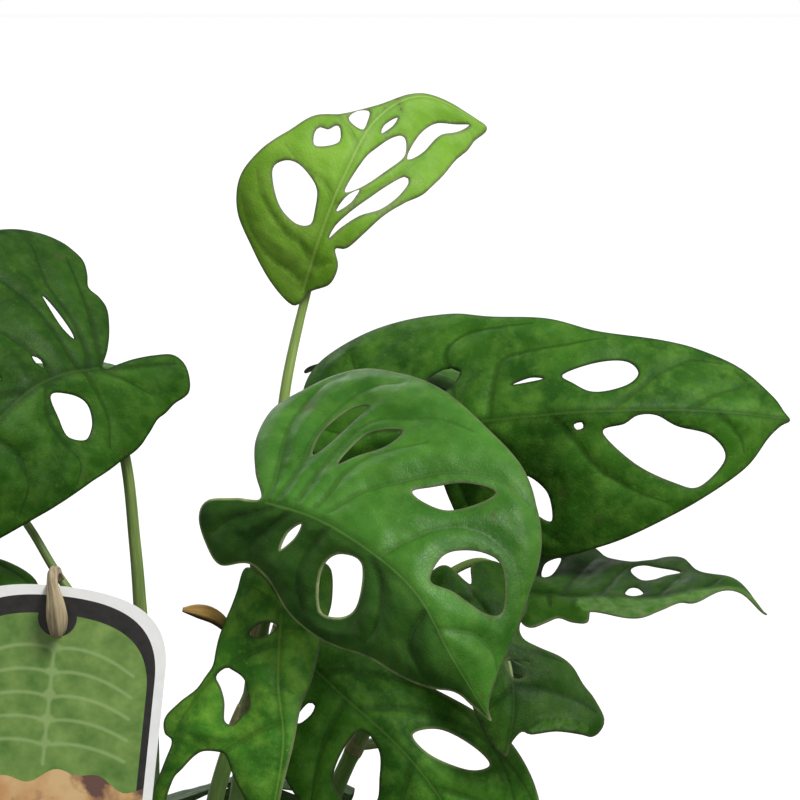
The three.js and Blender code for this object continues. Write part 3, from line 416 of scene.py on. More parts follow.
# The leaves behind or below the drawn ones: a heart outline from a length and half a width, on a midrib
# that leaves the joint at a heading, counted from +X to +Y, and bends from rise down to fall.
GROWN_FIELDS = ("name", "joint", "heading", "rise", "fall", "roll", "size", "stem", "foot", "via")
GROWN = [
    ("leaf_back_high", (88, 76, 334), 62, 4, -38, 10, (104, 44), "stem_back", 0.99, None),
    ("leaf_back_mid", (-50, 94, 326), 118, 10, -40, -12, (112, 47), "stem_low", 0.99,
     [(-65, 56, 262), (-59, 80, 294)]),
    ("leaf_back_right", (104, 80, 234), 72, 5, -62, 8, (110, 45), "stem_back", 0.7,
     [(52, 64, 234), (78, 73, 237)]),
    ("leaf_back_left", (-52, 86, 232), 112, 8, -58, 14, (110, 46), "stem_low", 0.84, None),
    ("leaf_left_high", (-88, 42, 308), 164, 14, -42, 8, (116, 47), "stem_left", 0.7,
     [(-17, -13, 236), (-35, -16, 261), (-47, -12, 280), (-66, 14, 301)]),
    ("leaf_dark_left", (-72, 2, 268), 196, -2, -56, -22, (96, 43), "stem_low", 0.92, None),
    ("leaf_left_back", (-112, 40, 220), 152, 16, -48, -14, (104, 44), "stem_low", 0.74, None),
    ("leaf_left_low", (-94, 2, 196), 182, 8, -70, 16, (98, 42), "stem_low", 0.6, None),
    ("leaf_front_left", (-108, -44, 164), 216, 4, -56, -12, (86, 37), "stem_left", 0.3, None),
    ("leaf_front_low", (44, -66, 150), -86, -8, -66, 8, (92, 37), "stem_mid", 0.06, [(26, -28, 142)]),
    ("leaf_right_front", (116, -38, 142), -30, 6, -64, -10, (96, 41), "stem_right", 0.1,
     [(80, -6, 138), (100, -22, 141)]),
    ("leaf_right_back", (100, 60, 162), 30, 2, -66, 12, (102, 43), "stem_right", 0.5, None),
    ("leaf_back_low", (24, 100, 172), 84, 8, -70, -8, (104, 44), "stem_back", 0.45, None),
    ("leaf_back_corner", (-62, 86, 170), 136, 4, -58, 10, (96, 41), "stem_low", 0.4, None),
]


def wobble(seed, index):
    """A number from -1 to 1 that only depends on the two given."""
    x = math.sin(seed * 12.9898 + index * 78.233) * 43.7585
    return (x - math.floor(x)) * 2 - 1


def bell(x, width):
    """1 at zero, falling off smoothly over the width."""
    return np.exp(-((x / width) ** 2))


def unit(v):
    """The vectors at length one."""
    return v / np.linalg.norm(v, axis=-1, keepdims=True)


def catmull(a, b, c, d, t):
    """A point between b and c on the smooth curve through all four."""
    return 0.5 * (2 * b + (c - a) * t + (2 * a - 5 * b + 4 * c - d) * t**2 + (3 * b - a - 3 * c + d) * t**3)


def smooth_line(points, steps):
    """A smooth open line through the points, as many samples as steps + 1."""
    p = np.asarray(points, float)
    p = np.vstack([2 * p[0] - p[1], p, 2 * p[-1] - p[-2]])
    last = len(p) - 3
    line = []
    for i in range(steps + 1):
        x = i / steps * last
        k = min(int(x), last - 1)
        line.append(catmull(*p[k:k + 4], x - k))
    return np.array(line)


def smooth_ring(points, step):
    """A smooth closed line through the points, sampled about a step apart."""
    p = np.asarray(points, float)
    n = len(p)
    ring = []
    for i in range(n):
        a, b, c, d = p[i - 1], p[i], p[(i + 1) % n], p[(i + 2) % n]
        parts = max(2, round(float(np.hypot(*(c - b))) / step))
        ring += [catmull(a, b, c, d, k / parts) for k in range(parts)]
    return np.array(ring)


def ripple(p, seed, size):
    """Smooth waves without a beat, about -1 to 1, over points p and bumps of the size given."""
    p = np.asarray(p, float)
    total = np.zeros(len(p))
    for k in range(6):
        turn = 2.4 * k + seed
        way = np.array([math.cos(turn), math.sin(turn), math.cos(1.7 * turn)])[: p.shape[1]]
        pitch = size * (0.7 + 0.13 * ((k * 5) % 6))
        total += np.sin(2 * math.pi * (p @ way) / pitch + 4.1 * k + seed * 2.3)
    return total / 3


class Blade:
    """The blade as a bent surface: point(u, v) lies u along the midrib and v across it."""

    def __init__(self, leaf):
        self.line = smooth_line(leaf["rib"], 120)
        steps = np.linalg.norm(np.diff(self.line, axis=0), axis=1)
        self.reached = np.concatenate([[0], np.cumsum(steps)])
        self.length = self.reached[-1]
        self.chord = unit(self.line[-1] - self.line[0])
        self.faces = [unit(np.array(f, float)) for f in leaf["faces"]]
        self.fold, self.curl = leaf["fold"], leaf["curl"]
        self.wave = leaf.get("wave", (0, 3))

    def on_rib(self, u):
        """The midrib in space."""
        return np.stack([np.interp(u, self.reached, self.line[:, k]) for k in range(3)], -1)

    def frame(self, u):
        """At u: the point on the midrib, the way the upper side looks, and the way to the right."""
        inside = np.clip(u, 0, self.length)
        low, high = np.clip(inside - 0.5, 0, self.length), np.clip(inside + 0.5, 0, self.length)
        tangent = unit(self.on_rib(high) - self.on_rib(low))
        ahead = unit(tangent * (1 - RULING_STIFFNESS) + self.chord * RULING_STIFFNESS)
        share = (inside / self.length)[:, None]
        face = self.faces[0] * (1 - share) + self.faces[1] * share
        normal = unit(face - (face * ahead).sum(-1, keepdims=True) * ahead)
        origin = self.on_rib(inside) + tangent * (u - inside)[:, None]
        return origin, normal, np.cross(ahead, normal)

    def point(self, u, v):
        """The blade in space: folded at the midrib, curled and waved towards its margin."""
        u, v = np.atleast_1d(np.asarray(u, float)), np.atleast_1d(np.asarray(v, float))
        origin, normal, across = self.frame(u)
        right = v > 0
        far = np.abs(v)
        fold = np.radians(np.where(right, self.fold[1], self.fold[0]))
        curl = np.radians(np.where(right, self.curl[1], self.curl[0])) / CURL_REACH
        wide = (np.sin(fold + curl * far) - np.sin(fold)) / curl
        height, count = self.wave
        turn = count * (u / self.length) + 0.37 * right
        rise = (np.cos(fold) - np.cos(fold + curl * far)) / curl
        rise = rise + height * (far / CURL_REACH) ** 2 * np.sin(2 * math.pi * turn)
        return origin + across * (np.sign(v) * wide)[:, None] + normal * rise[:, None]

    def rib_normal(self, u):
        return self.frame(u)[1]

    def normal(self, u, v):
        """The way the upper side looks, away from the midrib too."""
        along = self.point(u + 0.5, v) - self.point(u - 0.5, v)
        over = self.point(u, v + 0.5) - self.point(u, v - 0.5)
        return unit(np.cross(over, along))


def grow(row, index):
    """A heart outline and the holes between its side veins, for a leaf that isn't drawn."""
    leaf = dict(zip(GROWN_FIELDS, row))
    length, half = leaf["size"]
    steps = 4
    heading = math.radians(leaf["heading"])
    east, north = math.cos(heading), math.sin(heading)
    rib = [leaf["joint"]]
    for i in range(steps):
        pitch = math.radians(leaf["rise"] + (leaf["fall"] - leaf["rise"]) * ((i + 0.5) / steps) ** 0.9)
        x, y, z = rib[i]
        run, rise = math.cos(pitch) * length / steps, math.sin(pitch) * length / steps
        rib.append((x + east * run, y + north * run, z + rise))

    def side(sign):
        outline = []
        for k, (a, b) in enumerate(HEART):
            along, across = a + 0.012 * wobble(index, k + sign), b + 0.035 * wobble(index + 7, k + sign)
            outline.append((length * along, sign * half * across))
        return outline

    holes = []
    for sign in (-1, 1):
        for k, foot in enumerate(HOLE_FEET):
            if wobble(index + 11, k + sign) < HOLE_KEPT:
                continue
            reach = half * (0.54 - 0.1 * k)
            angle = math.radians(HOLE_ANGLE + 4 * wobble(index + 3, k + sign))
            long = reach * (0.56 + 0.16 * wobble(index + 5, k + sign))
            wide = length * (0.043 + 0.011 * wobble(index + 9, k + sign))
            middle = (length * foot + reach * math.cos(angle), sign * (reach * 0.84 + 2))
            hole = []
            for t in range(HOLE_CORNERS):
                turn = t / HOLE_CORNERS * 2 * math.pi
                a = long * math.cos(turn)
                b = wide * math.sin(turn) * (1 + 0.3 * math.cos(turn))
                hole.append((
                    middle[0] + a * math.cos(angle) - b * math.sin(angle),
                    middle[1] + sign * (a * math.sin(angle) + b * math.cos(angle)),
                ))
            holes.append(hole)
    lean = math.tan(math.radians(leaf["roll"]))
    lean_x, lean_y = lean * north, -lean * east
    leaf.update(
        rib=rib, edge=[*side(1), (length, 0), *side(-1)[::-1]], holes=holes, radius=(1.9, 1.4),
        faces=[(lean_x - 0.2 * east, lean_y - 0.2 * north, 1), (lean_x + east, lean_y + north, 0.8)],
        fold=(-8 + 6 * wobble(index, 1), -8 + 6 * wobble(index, 2)), curl=(-22, -22), wave=(2, 3),
        quilt=1.1, tint=[1.0 + 0.12 * wobble(index, 4)] * 2, pale=(0.1, 0.1),
        scars=[(length * 0.3, sign * half * 0.8, 1.5 + wobble(index, 6 + sign)) for sign in (-1, 1)],
        feet=[(foot, sign, angle) for foot, angle in SIDE_VEINS for sign in (-1, 1)],
    )
    return leaf


def is_inside(points, ring):
    """Which of the flat points lie in the ring."""
    inside = np.zeros(len(points), bool)
    x, y = points[:, 0], points[:, 1]
    for (ax, ay), (bx, by) in zip(ring, np.roll(ring, 1, axis=0)):
        if ay == by:
            continue
        crosses = (ay > y) != (by > y)
        inside ^= crosses & (x < (bx - ax) * (y - ay) / (by - ay) + ax)
    return inside


def distance_to(points, line):
    """How far each flat point is from a line of points, and the share of the line where it is nearest."""
    best = np.full(len(points), 1e9)
    share = np.zeros(len(points))
    spans = len(line) - 1
    for i in range(spans):
        a, b = line[i], line[i + 1]
        step = b - a
        t = np.clip(((points - a) @ step) / max(float(step @ step), 1e-9), 0, 1)
        away = np.hypot(*(points - a - t[:, None] * step).T)
        nearer = away < best
        best = np.where(nearer, away, best)
        share = np.where(nearer, (i + t) / spans, share)
    return best, share


def closed(ring):
    """The ring as a line that ends where it starts."""
    return np.vstack([ring, ring[:1]])


def side_veins(leaf, blade, edge):
    """The side veins as flat lines: those drawn for the leaf, or grown from feet on the midrib."""
    if "veins" in leaf:
        return [smooth_line(v, 5 * len(v)) for v in leaf["veins"]]
    lines = []
    for foot, sign, start in leaf["feet"]:
        p = np.array([foot * blade.length, 0.4 * sign])
        line = [p]
        angle = start
        for _ in range(60):
            turn = math.radians(angle)
            p = p + VEIN_STEP * np.array([math.cos(turn), sign * math.sin(turn)])
            if not is_inside(p[None], edge)[0]:
                break
            line.append(p)
            angle -= VEIN_BEND * (2.2 if start > 100 else 1)
        if len(line) > 3:
            lines.append(smooth_line(line[:-1], 3 * len(line)))
    return lines


def hexagons(low, high, step):
    """Points of a honeycomb between two flat corners."""
    rows = np.arange(low[1], high[1], step * 0.866)
    columns = np.arange(low[0], high[0], step)
    return np.array([(u + (step / 2 if k % 2 else 0), v) for k, v in enumerate(rows) for u in columns])


def flat_mesh(rings, lines, step):
    """Triangles over the first ring without the others, with every line as a row of edges."""
    grid = hexagons(rings[0].min(0), rings[0].max(0), step)
    keep = is_inside(grid, rings[0])
    for ring in rings[1:]:
        keep &= ~is_inside(grid, ring)
    grid = grid[keep]
    for line in [closed(r) for r in rings] + lines:
        grid = grid[distance_to(grid, line)[0] > 0.55 * step]
    points, edges = [], []
    for ring in rings:
        start = len(points)
        points += list(ring)
        edges += [(start + k, start + (k + 1) % len(ring)) for k in range(len(ring))]
    for line in lines:
        start = len(points)
        points += list(line)
        edges += [(start + k, start + k + 1) for k in range(len(line) - 1)]
    points += list(grid)
    made = delaunay_2d_cdt([Vector(p) for p in points], edges, [], 0, 1e-4)
    flat = np.array([tuple(p) for p in made[0]])
    faces = np.array([tuple(f) for f in made[2]])
    middle = flat[faces].mean(1)
    keep = is_inside(middle, rings[0])
    for ring in rings[1:]:
        keep &= ~is_inside(middle, ring)
    faces = faces[keep]
    used, faces = np.unique(faces, return_inverse=True)
    faces = faces.reshape(-1, 3)
    a, b, c = (flat[used][faces[:, k]] for k in range(3))
    turned = (b[:, 0] - a[:, 0]) * (c[:, 1] - a[:, 1]) < (b[:, 1] - a[:, 1]) * (c[:, 0] - a[:, 0])
    faces[turned] = faces[turned][:, ::-1]
    return flat[used], faces


def open_edges(faces):
    """The directed edges that only one triangle has."""
    edges = {(int(f[k]), int(f[(k + 1) % 3])) for f in faces for k in range(3)}
    return [(a, b) for a, b in edges if (b, a) not in edges]


class Shape:
    """A piece gathered part by part: vertices, faces, a material number for each face, vertex values."""

    VALUES = ("rib", "vein", "edge", "pale", "tint", "scar", "under")

    def __init__(self):
        self.vertices, self.faces, self.finish = [], [], []
        self.flat = []
        self.values = {name: [] for name in self.VALUES}

    def add(self, vertices, faces, finish=0, flat=None, **values):
        """More vertices and faces, with their finish, flat place and values."""
        start = len(self.vertices)
        self.vertices += [tuple(v) for v in vertices]
        self.faces += [tuple(start + int(i) for i in f) for f in faces]
        self.finish += [finish] * len(faces)
        self.flat += [tuple(f) for f in (np.asarray(vertices) if flat is None else flat)]
        for name in self.VALUES:
            value = values.get(name, 0.0)
            self.values[name] += list(np.broadcast_to(value, len(vertices)))

    def build(self, name, materials, smooth=True):
        """The piece as a Blender object."""
        mesh = bpy.data.meshes.new(name)
        mesh.from_pydata([tuple(MM * x for x in v) for v in self.vertices], [], self.faces)
        for value, numbers in self.values.items():
            if any(numbers):
                layer = mesh.attributes.new(value, "FLOAT", "POINT")
                layer.data.foreach_set("value", np.array(numbers, np.float32))
        layer = mesh.attributes.new("flat", "FLOAT_VECTOR", "POINT")
        layer.data.foreach_set("vector", np.array(self.flat, np.float32).ravel())
        for material in materials:
            mesh.materials.append(material)
        mesh.polygons.foreach_set("material_index", self.finish)
        mesh.polygons.foreach_set("use_smooth", [smooth] * len(self.faces))
        mesh.update()
        piece = bpy.data.objects.new(name, mesh)
        bpy.context.scene.collection.objects.link(piece)
        return piece


def place(piece, slot, *nodes):
    """The piece moves with the plant and stands for the CAD nodes; the slot is not used."""
    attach(piece, "root")
    if nodes:
        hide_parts(*nodes)
    return piece


def tube(line, radius, sides):
    """Rings round a line. radius(share, turn) gives the way out, turn in degrees from the upper side."""
    line = np.asarray(line, float)
    last = len(line) - 1
    ahead = unit(np.gradient(line, axis=0))
    up = np.array([0.31, 0.1, 0.95])
    turns = np.arange(sides) * 360 / sides
    vertices, flat = [], []
    reached = np.concatenate([[0], np.cumsum(np.linalg.norm(np.diff(line, axis=0), axis=1))])
    for i, p in enumerate(line):
        up = unit(up - ahead[i] * (up @ ahead[i]))
        over = np.cross(ahead[i], up)
        for turn in turns:
            r = radius(i / last, turn)
            out = up * math.cos(math.radians(turn)) + over * math.sin(math.radians(turn))
            vertices.append(p + out * r)
            flat.append((reached[i], 4 * math.cos(math.radians(turn)), 4 * math.sin(math.radians(turn))))
    faces = []
    for i in range(last):
        for k in range(sides):
            a, b = i * sides + k, i * sides + (k + 1) % sides
            faces.append((a, b, b + sides, a + sides))
    faces.append(tuple(range(sides))[::-1])
    faces.append(tuple(last * sides + k for k in range(sides)))
    return np.array(vertices), faces, np.array(flat)


def stem_line(name, steps):
    """The middle of a stem, from the root up."""
    return smooth_line(STEMS[name][1], steps)


def foot_on(leaf):
    """Where the leaf grows from its stem."""
    return stem_line(leaf["stem"], 100)[round(25 + 75 * leaf["foot"])]


def petiole_line(leaf, blade):
    """From the stem up to the joint, and on under the midrib."""
    foot, joint = foot_on(leaf), np.array(leaf["rib"][0], float)
    rise = max(10, 0.22 * math.hypot(*(joint - foot)[:2]))
    middle = foot * 0.45 + joint * 0.55
    middle[2] = (foot[2] + joint[2]) / 2 + rise
    via = leaf.get("via") or [middle]
    under = []
    for share, drop in UNDER_RIB:
        u = np.array([share * blade.length])
        under.append((blade.point(u, 0) - blade.rib_normal(u) * drop)[0])
    return smooth_line([foot, *via, *under], 90)


def swell(x, form):
    """How much thicker a stalk is at x: form gives the size, the place and the width."""
    size, middle, width = form
    return size * bell(x - middle, width)


def petiole(shape, leaf, blade, finish):
    """The stalk, winged at its foot, channelled above and swollen at the blade."""
    thick, thin = leaf["radius"]

    def radius(share, turn):
        if share < UNDER_BLADE:
            r = thick + (thin - thick) * share / UNDER_BLADE
        else:
            r = thin * (1 - RIB_TAPER * (share - UNDER_BLADE) / (1 - UNDER_BLADE))
        away = min(turn, 360 - turn)
        wing = swell(away, WING) * max(0.0, 1 - share / WING_REACH) ** 0.7
        channel = swell(away, CHANNEL) * min(1.0, 6 * share)
        return r * (1 + wing - channel + swell(share, KNEE))

    vertices, faces, flat = tube(petiole_line(leaf, blade), radius, PETIOLE_SIDES)
    shape.add(vertices, faces, finish, flat)


def turned_ring(leaf):
    """The outline of the part of a blade that is turned over."""
    return smooth_ring(leaf["turned"], EDGE_STEP)


def relief(leaf, seed, flat, rib, veins, to_edge):
    """How far the blade stands off its bent surface, and how far each point is from a side vein."""
    to_rib, along = distance_to(flat, rib)
    deep, shallow = RIB_GROOVE
    groove = -(deep + (shallow - deep) * along) * bell(to_rib, RIB_GROOVE_WIDTH)
    near = to_rib
    to_vein = np.full(len(flat), FAR)
    for line in veins:
        away, share = distance_to(flat, line)
        fade = 1 - VEIN_FADE * share
        to_vein = np.minimum(to_vein, away / fade)
        groove = np.minimum(groove, -VEIN_GROOVE * fade * bell(away, VEIN_GROOVE_WIDTH))
        near = np.minimum(near, away + VEIN_END * share**3)
    inward = 1 - bell(to_edge, EDGE_REACH)
    quilt = QUILT_HEIGHT * leaf["quilt"] * (1 - bell(near, QUILT_REACH)) * inward
    rough = sum(high * ripple(flat, seed + shift, wave) for high, wave, shift in UNEVEN)
    height = groove + quilt + rough * inward - EDGE_FALL * bell(to_edge, ROLL_WIDTH)
    if "turned" in leaf:
        height += TURNED_ROLL * bell(distance_to(flat, closed(turned_ring(leaf)))[0], ROLL_WIDTH)
    return height, to_vein


def leaf_values(leaf, flat, rib, to_vein, to_edge):
    """What the leaf's paint reads, for the points of the upper side."""
    to_rib, along = distance_to(flat, rib)
    u, v = flat.T
    scar = np.zeros(len(flat))
    for x, y, size in leaf.get("scars", []):
        scar = np.maximum(scar, bell(np.hypot(u - x, v - y), size))
    turned = np.zeros(len(flat))
    if "turned" in leaf:
        ring = turned_ring(leaf)
        turned = is_inside(flat, ring) * np.clip(distance_to(flat, closed(ring))[0], 0, 1)
    right = np.clip((v + 1) / 2, 0, 1)
    # painted light and shade: each half's colour factor, partly the leaf's own tone, lightens or darkens the
    # half as the light on it would
    pale, tint = (leaf[key][0] + (leaf[key][1] - leaf[key][0]) * right for key in ("pale", "tint"))
    values = {
        "rib": np.minimum(to_rib / (1 - RIB_THINS * along), FAR),
        "vein": to_vein,
        "edge": np.minimum(to_edge, FAR),
        "pale": pale,
        "tint": np.where(turned > 0, 1, tint),
        "scar": scar,
    }
    return values, turned


def thicken(middle, faces):
    """The sheet's upper side, lower side and lip: vertices, faces, and the points that have a lip."""
    a, b, c = (middle[faces[:, k]] for k in range(3))
    normal = np.zeros_like(middle)
    for k in range(3):
        np.add.at(normal, faces[:, k], np.cross(b - a, c - a))
    normal = -unit(normal)
    n = len(middle)
    rim = open_edges(faces)
    corners = sorted({k for edge in rim for k in edge})
    lip_of = {k: 2 * n + i for i, k in enumerate(corners)}
    outward = np.zeros_like(middle)
    for p, q in rim:
        out = np.cross(middle[q] - middle[p], normal[p])
        outward[p] -= out
        outward[q] -= out
    half = BLADE_THICKNESS / 2
    lip = middle[corners] + unit(outward[corners]) * LIP * BLADE_THICKNESS
    sheet = [(x, z, y) for x, y, z in faces] + [(x + n, y + n, z + n) for x, y, z in faces]
    for p, q in rim:
        r, s = lip_of[p], lip_of[q]
        sheet += [(p, q, s, r), (r, s, q + n, p + n)]
    return np.vstack([middle + normal * half, middle - normal * half, lip]), sheet, corners


def leaf_piece(leaf, index, materials):
    """The blade as a thin sheet with sunk veins, and the petiole that runs on under it."""
    blade = Blade(leaf)
    rings = [smooth_ring(ring, EDGE_STEP) for ring in (leaf["edge"], *leaf["holes"])]
    veins = side_veins(leaf, blade, rings[0])
    rib = np.array([(u, 0.0) for u in np.linspace(1, blade.length - 2, 60)])
    flat, faces = flat_mesh(rings, [rib, *veins], INNER_STEP)
    u, v = flat.T
    to_edge = np.min([distance_to(flat, closed(ring))[0] for ring in rings], axis=0)
    height, to_vein = relief(leaf, index, flat, rib, veins, to_edge)
    middle = blade.point(u, v) + blade.normal(u, v) * height[:, None]
    vertices, sheet, corners = thicken(middle, faces)

    upper, turned = leaf_values(leaf, flat, rib, to_vein, to_edge)
    values = {name: np.concatenate([value, value, value[corners]]) for name, value in upper.items()}
    values["under"] = np.concatenate([turned, np.ones(len(flat)), np.full(len(corners), 0.5)])
    spots = np.column_stack([u, v, np.full(len(flat), 41.0 * index)])
    shape = Shape()
    shape.add(vertices, sheet, 0, np.vstack([spots, spots, spots[corners]]), **values)
    petiole(shape, leaf, blade, 1)
    return shape.build(leaf["name"] + "_grown", materials)


class Paint:
    """Adds nodes to a material. Inputs are numbers, colours or the sockets of other nodes."""

    def __init__(self, name, **surface):
        self.material = bpy.data.materials.new(name)
        self.material.use_nodes = True
        self.tree = self.material.node_tree
        self.shader = self.tree.nodes["Principled BSDF"]
        self.set(self.shader, surface)

    def set(self, node, inputs):
        """Links sockets, and sets numbers and colours on their own sockets."""
        for key, value in inputs.items():
            socket = node.inputs[key if isinstance(key, int) else key.replace("_", " ")]
            if isinstance(value, bpy.types.NodeSocket):
                self.tree.links.new(value, socket)
            elif isinstance(value, tuple) and len(value) == 3 and socket.type == "RGBA":
                socket.default_value = (*value, 1)
            else:
                socket.default_value = value

    def node(self, kind, inputs=None, **settings):
        made = self.tree.nodes.new(kind)
        for key, value in settings.items():
            setattr(made, key, value)
        self.set(made, inputs or {})
        return made

    def value(self, name):
        """A value that the mesh carries."""
        return self.node("ShaderNodeAttribute", attribute_name=name).outputs["Fac"]

    def flat(self):
        """The place on the unrolled piece, in millimetres."""
        return self.node("ShaderNodeAttribute", attribute_name="flat").outputs["Vector"]

    def noise(self, where, scale, detail=3.0, rough=0.55, stretch=None):
        if stretch:
            where = self.node("ShaderNodeMapping", {"Vector": where, "Scale": stretch}).outputs[0]
        inputs = {"Vector": where, "Scale": scale, "Detail": detail, "Roughness": rough}
        return self.node("ShaderNodeTexNoise", inputs).outputs["Fac"]

    def cells(self, where, scale):
        """How far it is to the edge of a cell."""
        inputs = {"Vector": where, "Scale": scale}
        return self.node("ShaderNodeTexVoronoi", inputs, feature="DISTANCE_TO_EDGE").outputs["Distance"]

    def warp(self, where, scale, reach):
        """The place moved a little by noise, so that a pattern on it isn't even."""
        noise = self.node("ShaderNodeTexNoise", {"Vector": where, "Scale": scale, "Detail": 2.0})
        inputs = {0: noise.outputs["Color"], 1: (reach, reach, reach), 2: where}
        return self.node("ShaderNodeVectorMath", inputs, operation="MULTIPLY_ADD").outputs[0]

    def span(self, value, low, high, to_low=0.0, to_high=1.0):
        """The value from one range to another, held at its ends."""
        inputs = {"Value": value, "From Min": low, "From Max": high, "To Min": to_low, "To Max": to_high}
        return self.node("ShaderNodeMapRange", inputs).outputs[0]

    def math(self, operation, a, b):
        return self.node("ShaderNodeMath", {0: a, 1: b}, operation=operation).outputs[0]

    def mix(self, factor, a, b, blend="MIX"):
        inputs = {0: factor, 6: a, 7: b}
        return self.node("ShaderNodeMix", inputs, data_type="RGBA", blend_type=blend).outputs[2]

    def bump(self, height, distance, under=None):
        """Fine relief, its distance in millimetres."""
        inputs = {"Height": height, "Distance": distance * MM, "Strength": 1.0}
        if under is not None:
            inputs["Normal"] = under
        return self.node("ShaderNodeBump", inputs).outputs[0]


def leaf_paint(name, dark, light, vein, below, mottle, gloss, sheen, crease, rib):
    """Waxy upper side with painted shade darkening the creases along the veins and the midrib, pale veins in
    those creases and flecks; duller, paler lower side.
    """
    p = Paint(name, Specular_IOR_Level=sheen)
    # the colour of the painted shade in the creases
    shade = tuple(0.45 * c for c in dark)
    flat = p.flat()
    patches = p.span(p.noise(flat, 0.03, 3.0), 0.36, 0.66)
    colour = p.mix(patches, dark, light)
    clouds = p.span(p.noise(flat, 0.13, 4.0, 0.6), 0.42, 0.75)
    colour = p.mix(p.math("MULTIPLY", clouds, mottle), colour, vein)
    flecks = p.span(p.noise(flat, 0.55, 2.0, 0.5), 0.62, 0.76)
    colour = p.mix(p.math("MULTIPLY", flecks, 0.5 * mottle), colour, vein)
    net = p.span(p.cells(p.warp(flat, 0.5, 1.2), 0.55), 0.0, 0.12)
    colour = p.mix(p.span(net, 0.0, 1.0, 0.1, 0.0), colour, dark)
    under = p.value("under")
    grey = p.mix(p.span(p.noise(flat, 0.3, 3.0), 0.3, 0.7), below, light)
    colour = p.mix(p.math("MULTIPLY", under, 0.8), colour, grey)
    upper = p.span(under, 0.0, 1.0, 1.0, 0.4)
    # painted shade: near each vein and the midrib the upper side is darkened towards the shade colour, as
    # shade in the creases, weaker on the lower side; crease sets how dark
    for line, reach, pale in (("vein", 2.2, 0.3 * rib), ("rib", 3.2, rib)):
        away = p.value(line)
        colour = p.mix(p.math("MULTIPLY", p.span(away, 0.3, reach, crease, 0.0), upper), colour, shade)
        colour = p.mix(p.span(away, 0.2, 0.9, pale, 0.0), colour, vein)
    # painted light and shade: the per-half colour factor, partly the leaf's own tone, makes whole halves and
    # leaves lighter or darker as the light on them would
    colour = p.mix(1.0, colour, p.value("tint"), "MULTIPLY")
    patchy = p.span(p.noise(flat, 0.12, 2.0), 0.35, 0.6, 0.5, 1.0)
    pale = p.math("MULTIPLY", p.value("pale"), patchy)
    rim = p.span(p.value("edge"), 0.3, 1.1, 0.85, 0.0)
    colour = p.mix(rim, colour, p.mix(pale, DARK_MARGIN, PALE_MARGIN))
    scorch = p.span(p.noise(flat, 0.9, 3.0, 0.7), 0.35, 0.6)
    colour = p.mix(p.math("MULTIPLY", p.value("scar"), scorch), colour, SCORCHED)
    wax = p.span(p.noise(flat, 0.16, 4.0, 0.6), 0.3, 0.7, gloss, gloss + 0.18)
    rough = p.math("MAXIMUM", wax, p.math("MULTIPLY", under, 0.66))
    grain = p.bump(p.noise(flat, 2.4, 3.0), 0.05)
    ground = p.bump(net, 0.04, grain)
    p.set(p.shader, {"Base Color": colour, "Roughness": rough, "Normal": ground})
    return p.material


def stalk_paint(name, pale, deep):
    """Fine streaks along the stalk, and darker blotches."""
    p = Paint(name)
    flat = p.flat()
    streaks = p.span(p.noise(flat, 0.9, 3.0, 0.6, (0.05, 1.0, 1.0)), 0.3, 0.7)
    blotches = p.span(p.noise(flat, 0.08, 2.0), 0.4, 0.62)
    colour = p.mix(streaks, deep, pale)
    colour = p.mix(p.math("MULTIPLY", blotches, 0.45), colour, deep)
    rough = p.span(p.noise(flat, 0.4, 2.0), 0.3, 0.7, 0.34, 0.52)
    p.set(p.shader, {"Base Color": colour, "Roughness": rough, "Normal": p.bump(streaks, 0.12)})
    return p.material


def simple_paint(name, low, high, scale, rough, bump, stretch=None):
    """Two like colours in noise, with the same noise in roughness and bump."""
    p = Paint(name)
    flat = p.flat()
    grain = p.noise(flat, scale, 4.0, 0.6, stretch)
    colour = p.mix(p.span(grain, 0.32, 0.68), low, high)
    fine = p.noise(flat, scale * 6, 2.0)
    gloss = p.span(fine, 0.3, 0.7, rough[0], rough[1])
    height = p.math("ADD", grain, p.math("MULTIPLY", fine, 0.3))
    p.set(p.shader, {"Base Color": colour, "Roughness": gloss, "Normal": p.bump(height, bump)})
    return p.material


PALE_MARGIN = (0.42, 0.48, 0.22)
DARK_MARGIN = (0.018, 0.040, 0.008)
SCORCHED = (0.07, 0.055, 0.02)
# Each paint: dark, light, vein and below colours, mottle, gloss, sheen, crease (the strength of the painted
# shade in the creases) and rib.
LEAF_PAINTS = {
    name: leaf_paint(name, *looks)
    for name, looks in {
        "leaf_young": (
            (0.110, 0.26, 0.012), (0.170, 0.35, 0.028), (0.30, 0.47, 0.09), (0.20, 0.34, 0.06),
            0.30, 0.42, 0.20, 0.38, 0.5),
        "leaf_bright": (
            (0.026, 0.112, 0.007), (0.058, 0.205, 0.018), (0.15, 0.33, 0.05), (0.11, 0.22, 0.055),
            0.35, 0.36, 0.20, 0.5, 0.5),
        "leaf_mottled": (
            (0.020, 0.090, 0.006), (0.045, 0.165, 0.014), (0.17, 0.34, 0.035), (0.11, 0.22, 0.055),
            0.60, 0.38, 0.14, 0.5, 0.3),
        "leaf_dark": (
            (0.014, 0.062, 0.004), (0.037, 0.130, 0.009), (0.11, 0.25, 0.03), (0.13, 0.21, 0.075),
            0.50, 0.42, 0.10, 0.6, 0.22),
    }.items()
}
STALK_PALE = stalk_paint("stalk_pale", (0.36, 0.48, 0.14), (0.20, 0.32, 0.06))
STALK_OLIVE = stalk_paint("stalk_olive", (0.22, 0.30, 0.075), (0.09, 0.16, 0.028))
PAINT_OF = {"leaf_lime": "leaf_young", "leaf_front": "leaf_bright", "leaf_hanging": "leaf_mottled"}


def make_leaves():
    """Every leaf, drawn or grown."""
    for index, leaf in enumerate(DRAWN + [grow(row, k) for k, row in enumerate(GROWN)]):
        slot = PAINT_OF.get(leaf["name"], "leaf_dark")
        stalk = STALK_PALE if slot == "leaf_young" else STALK_OLIVE
        piece = leaf_piece(leaf, index, [LEAF_PAINTS[slot], stalk])
        place(piece, slot, leaf["name"])


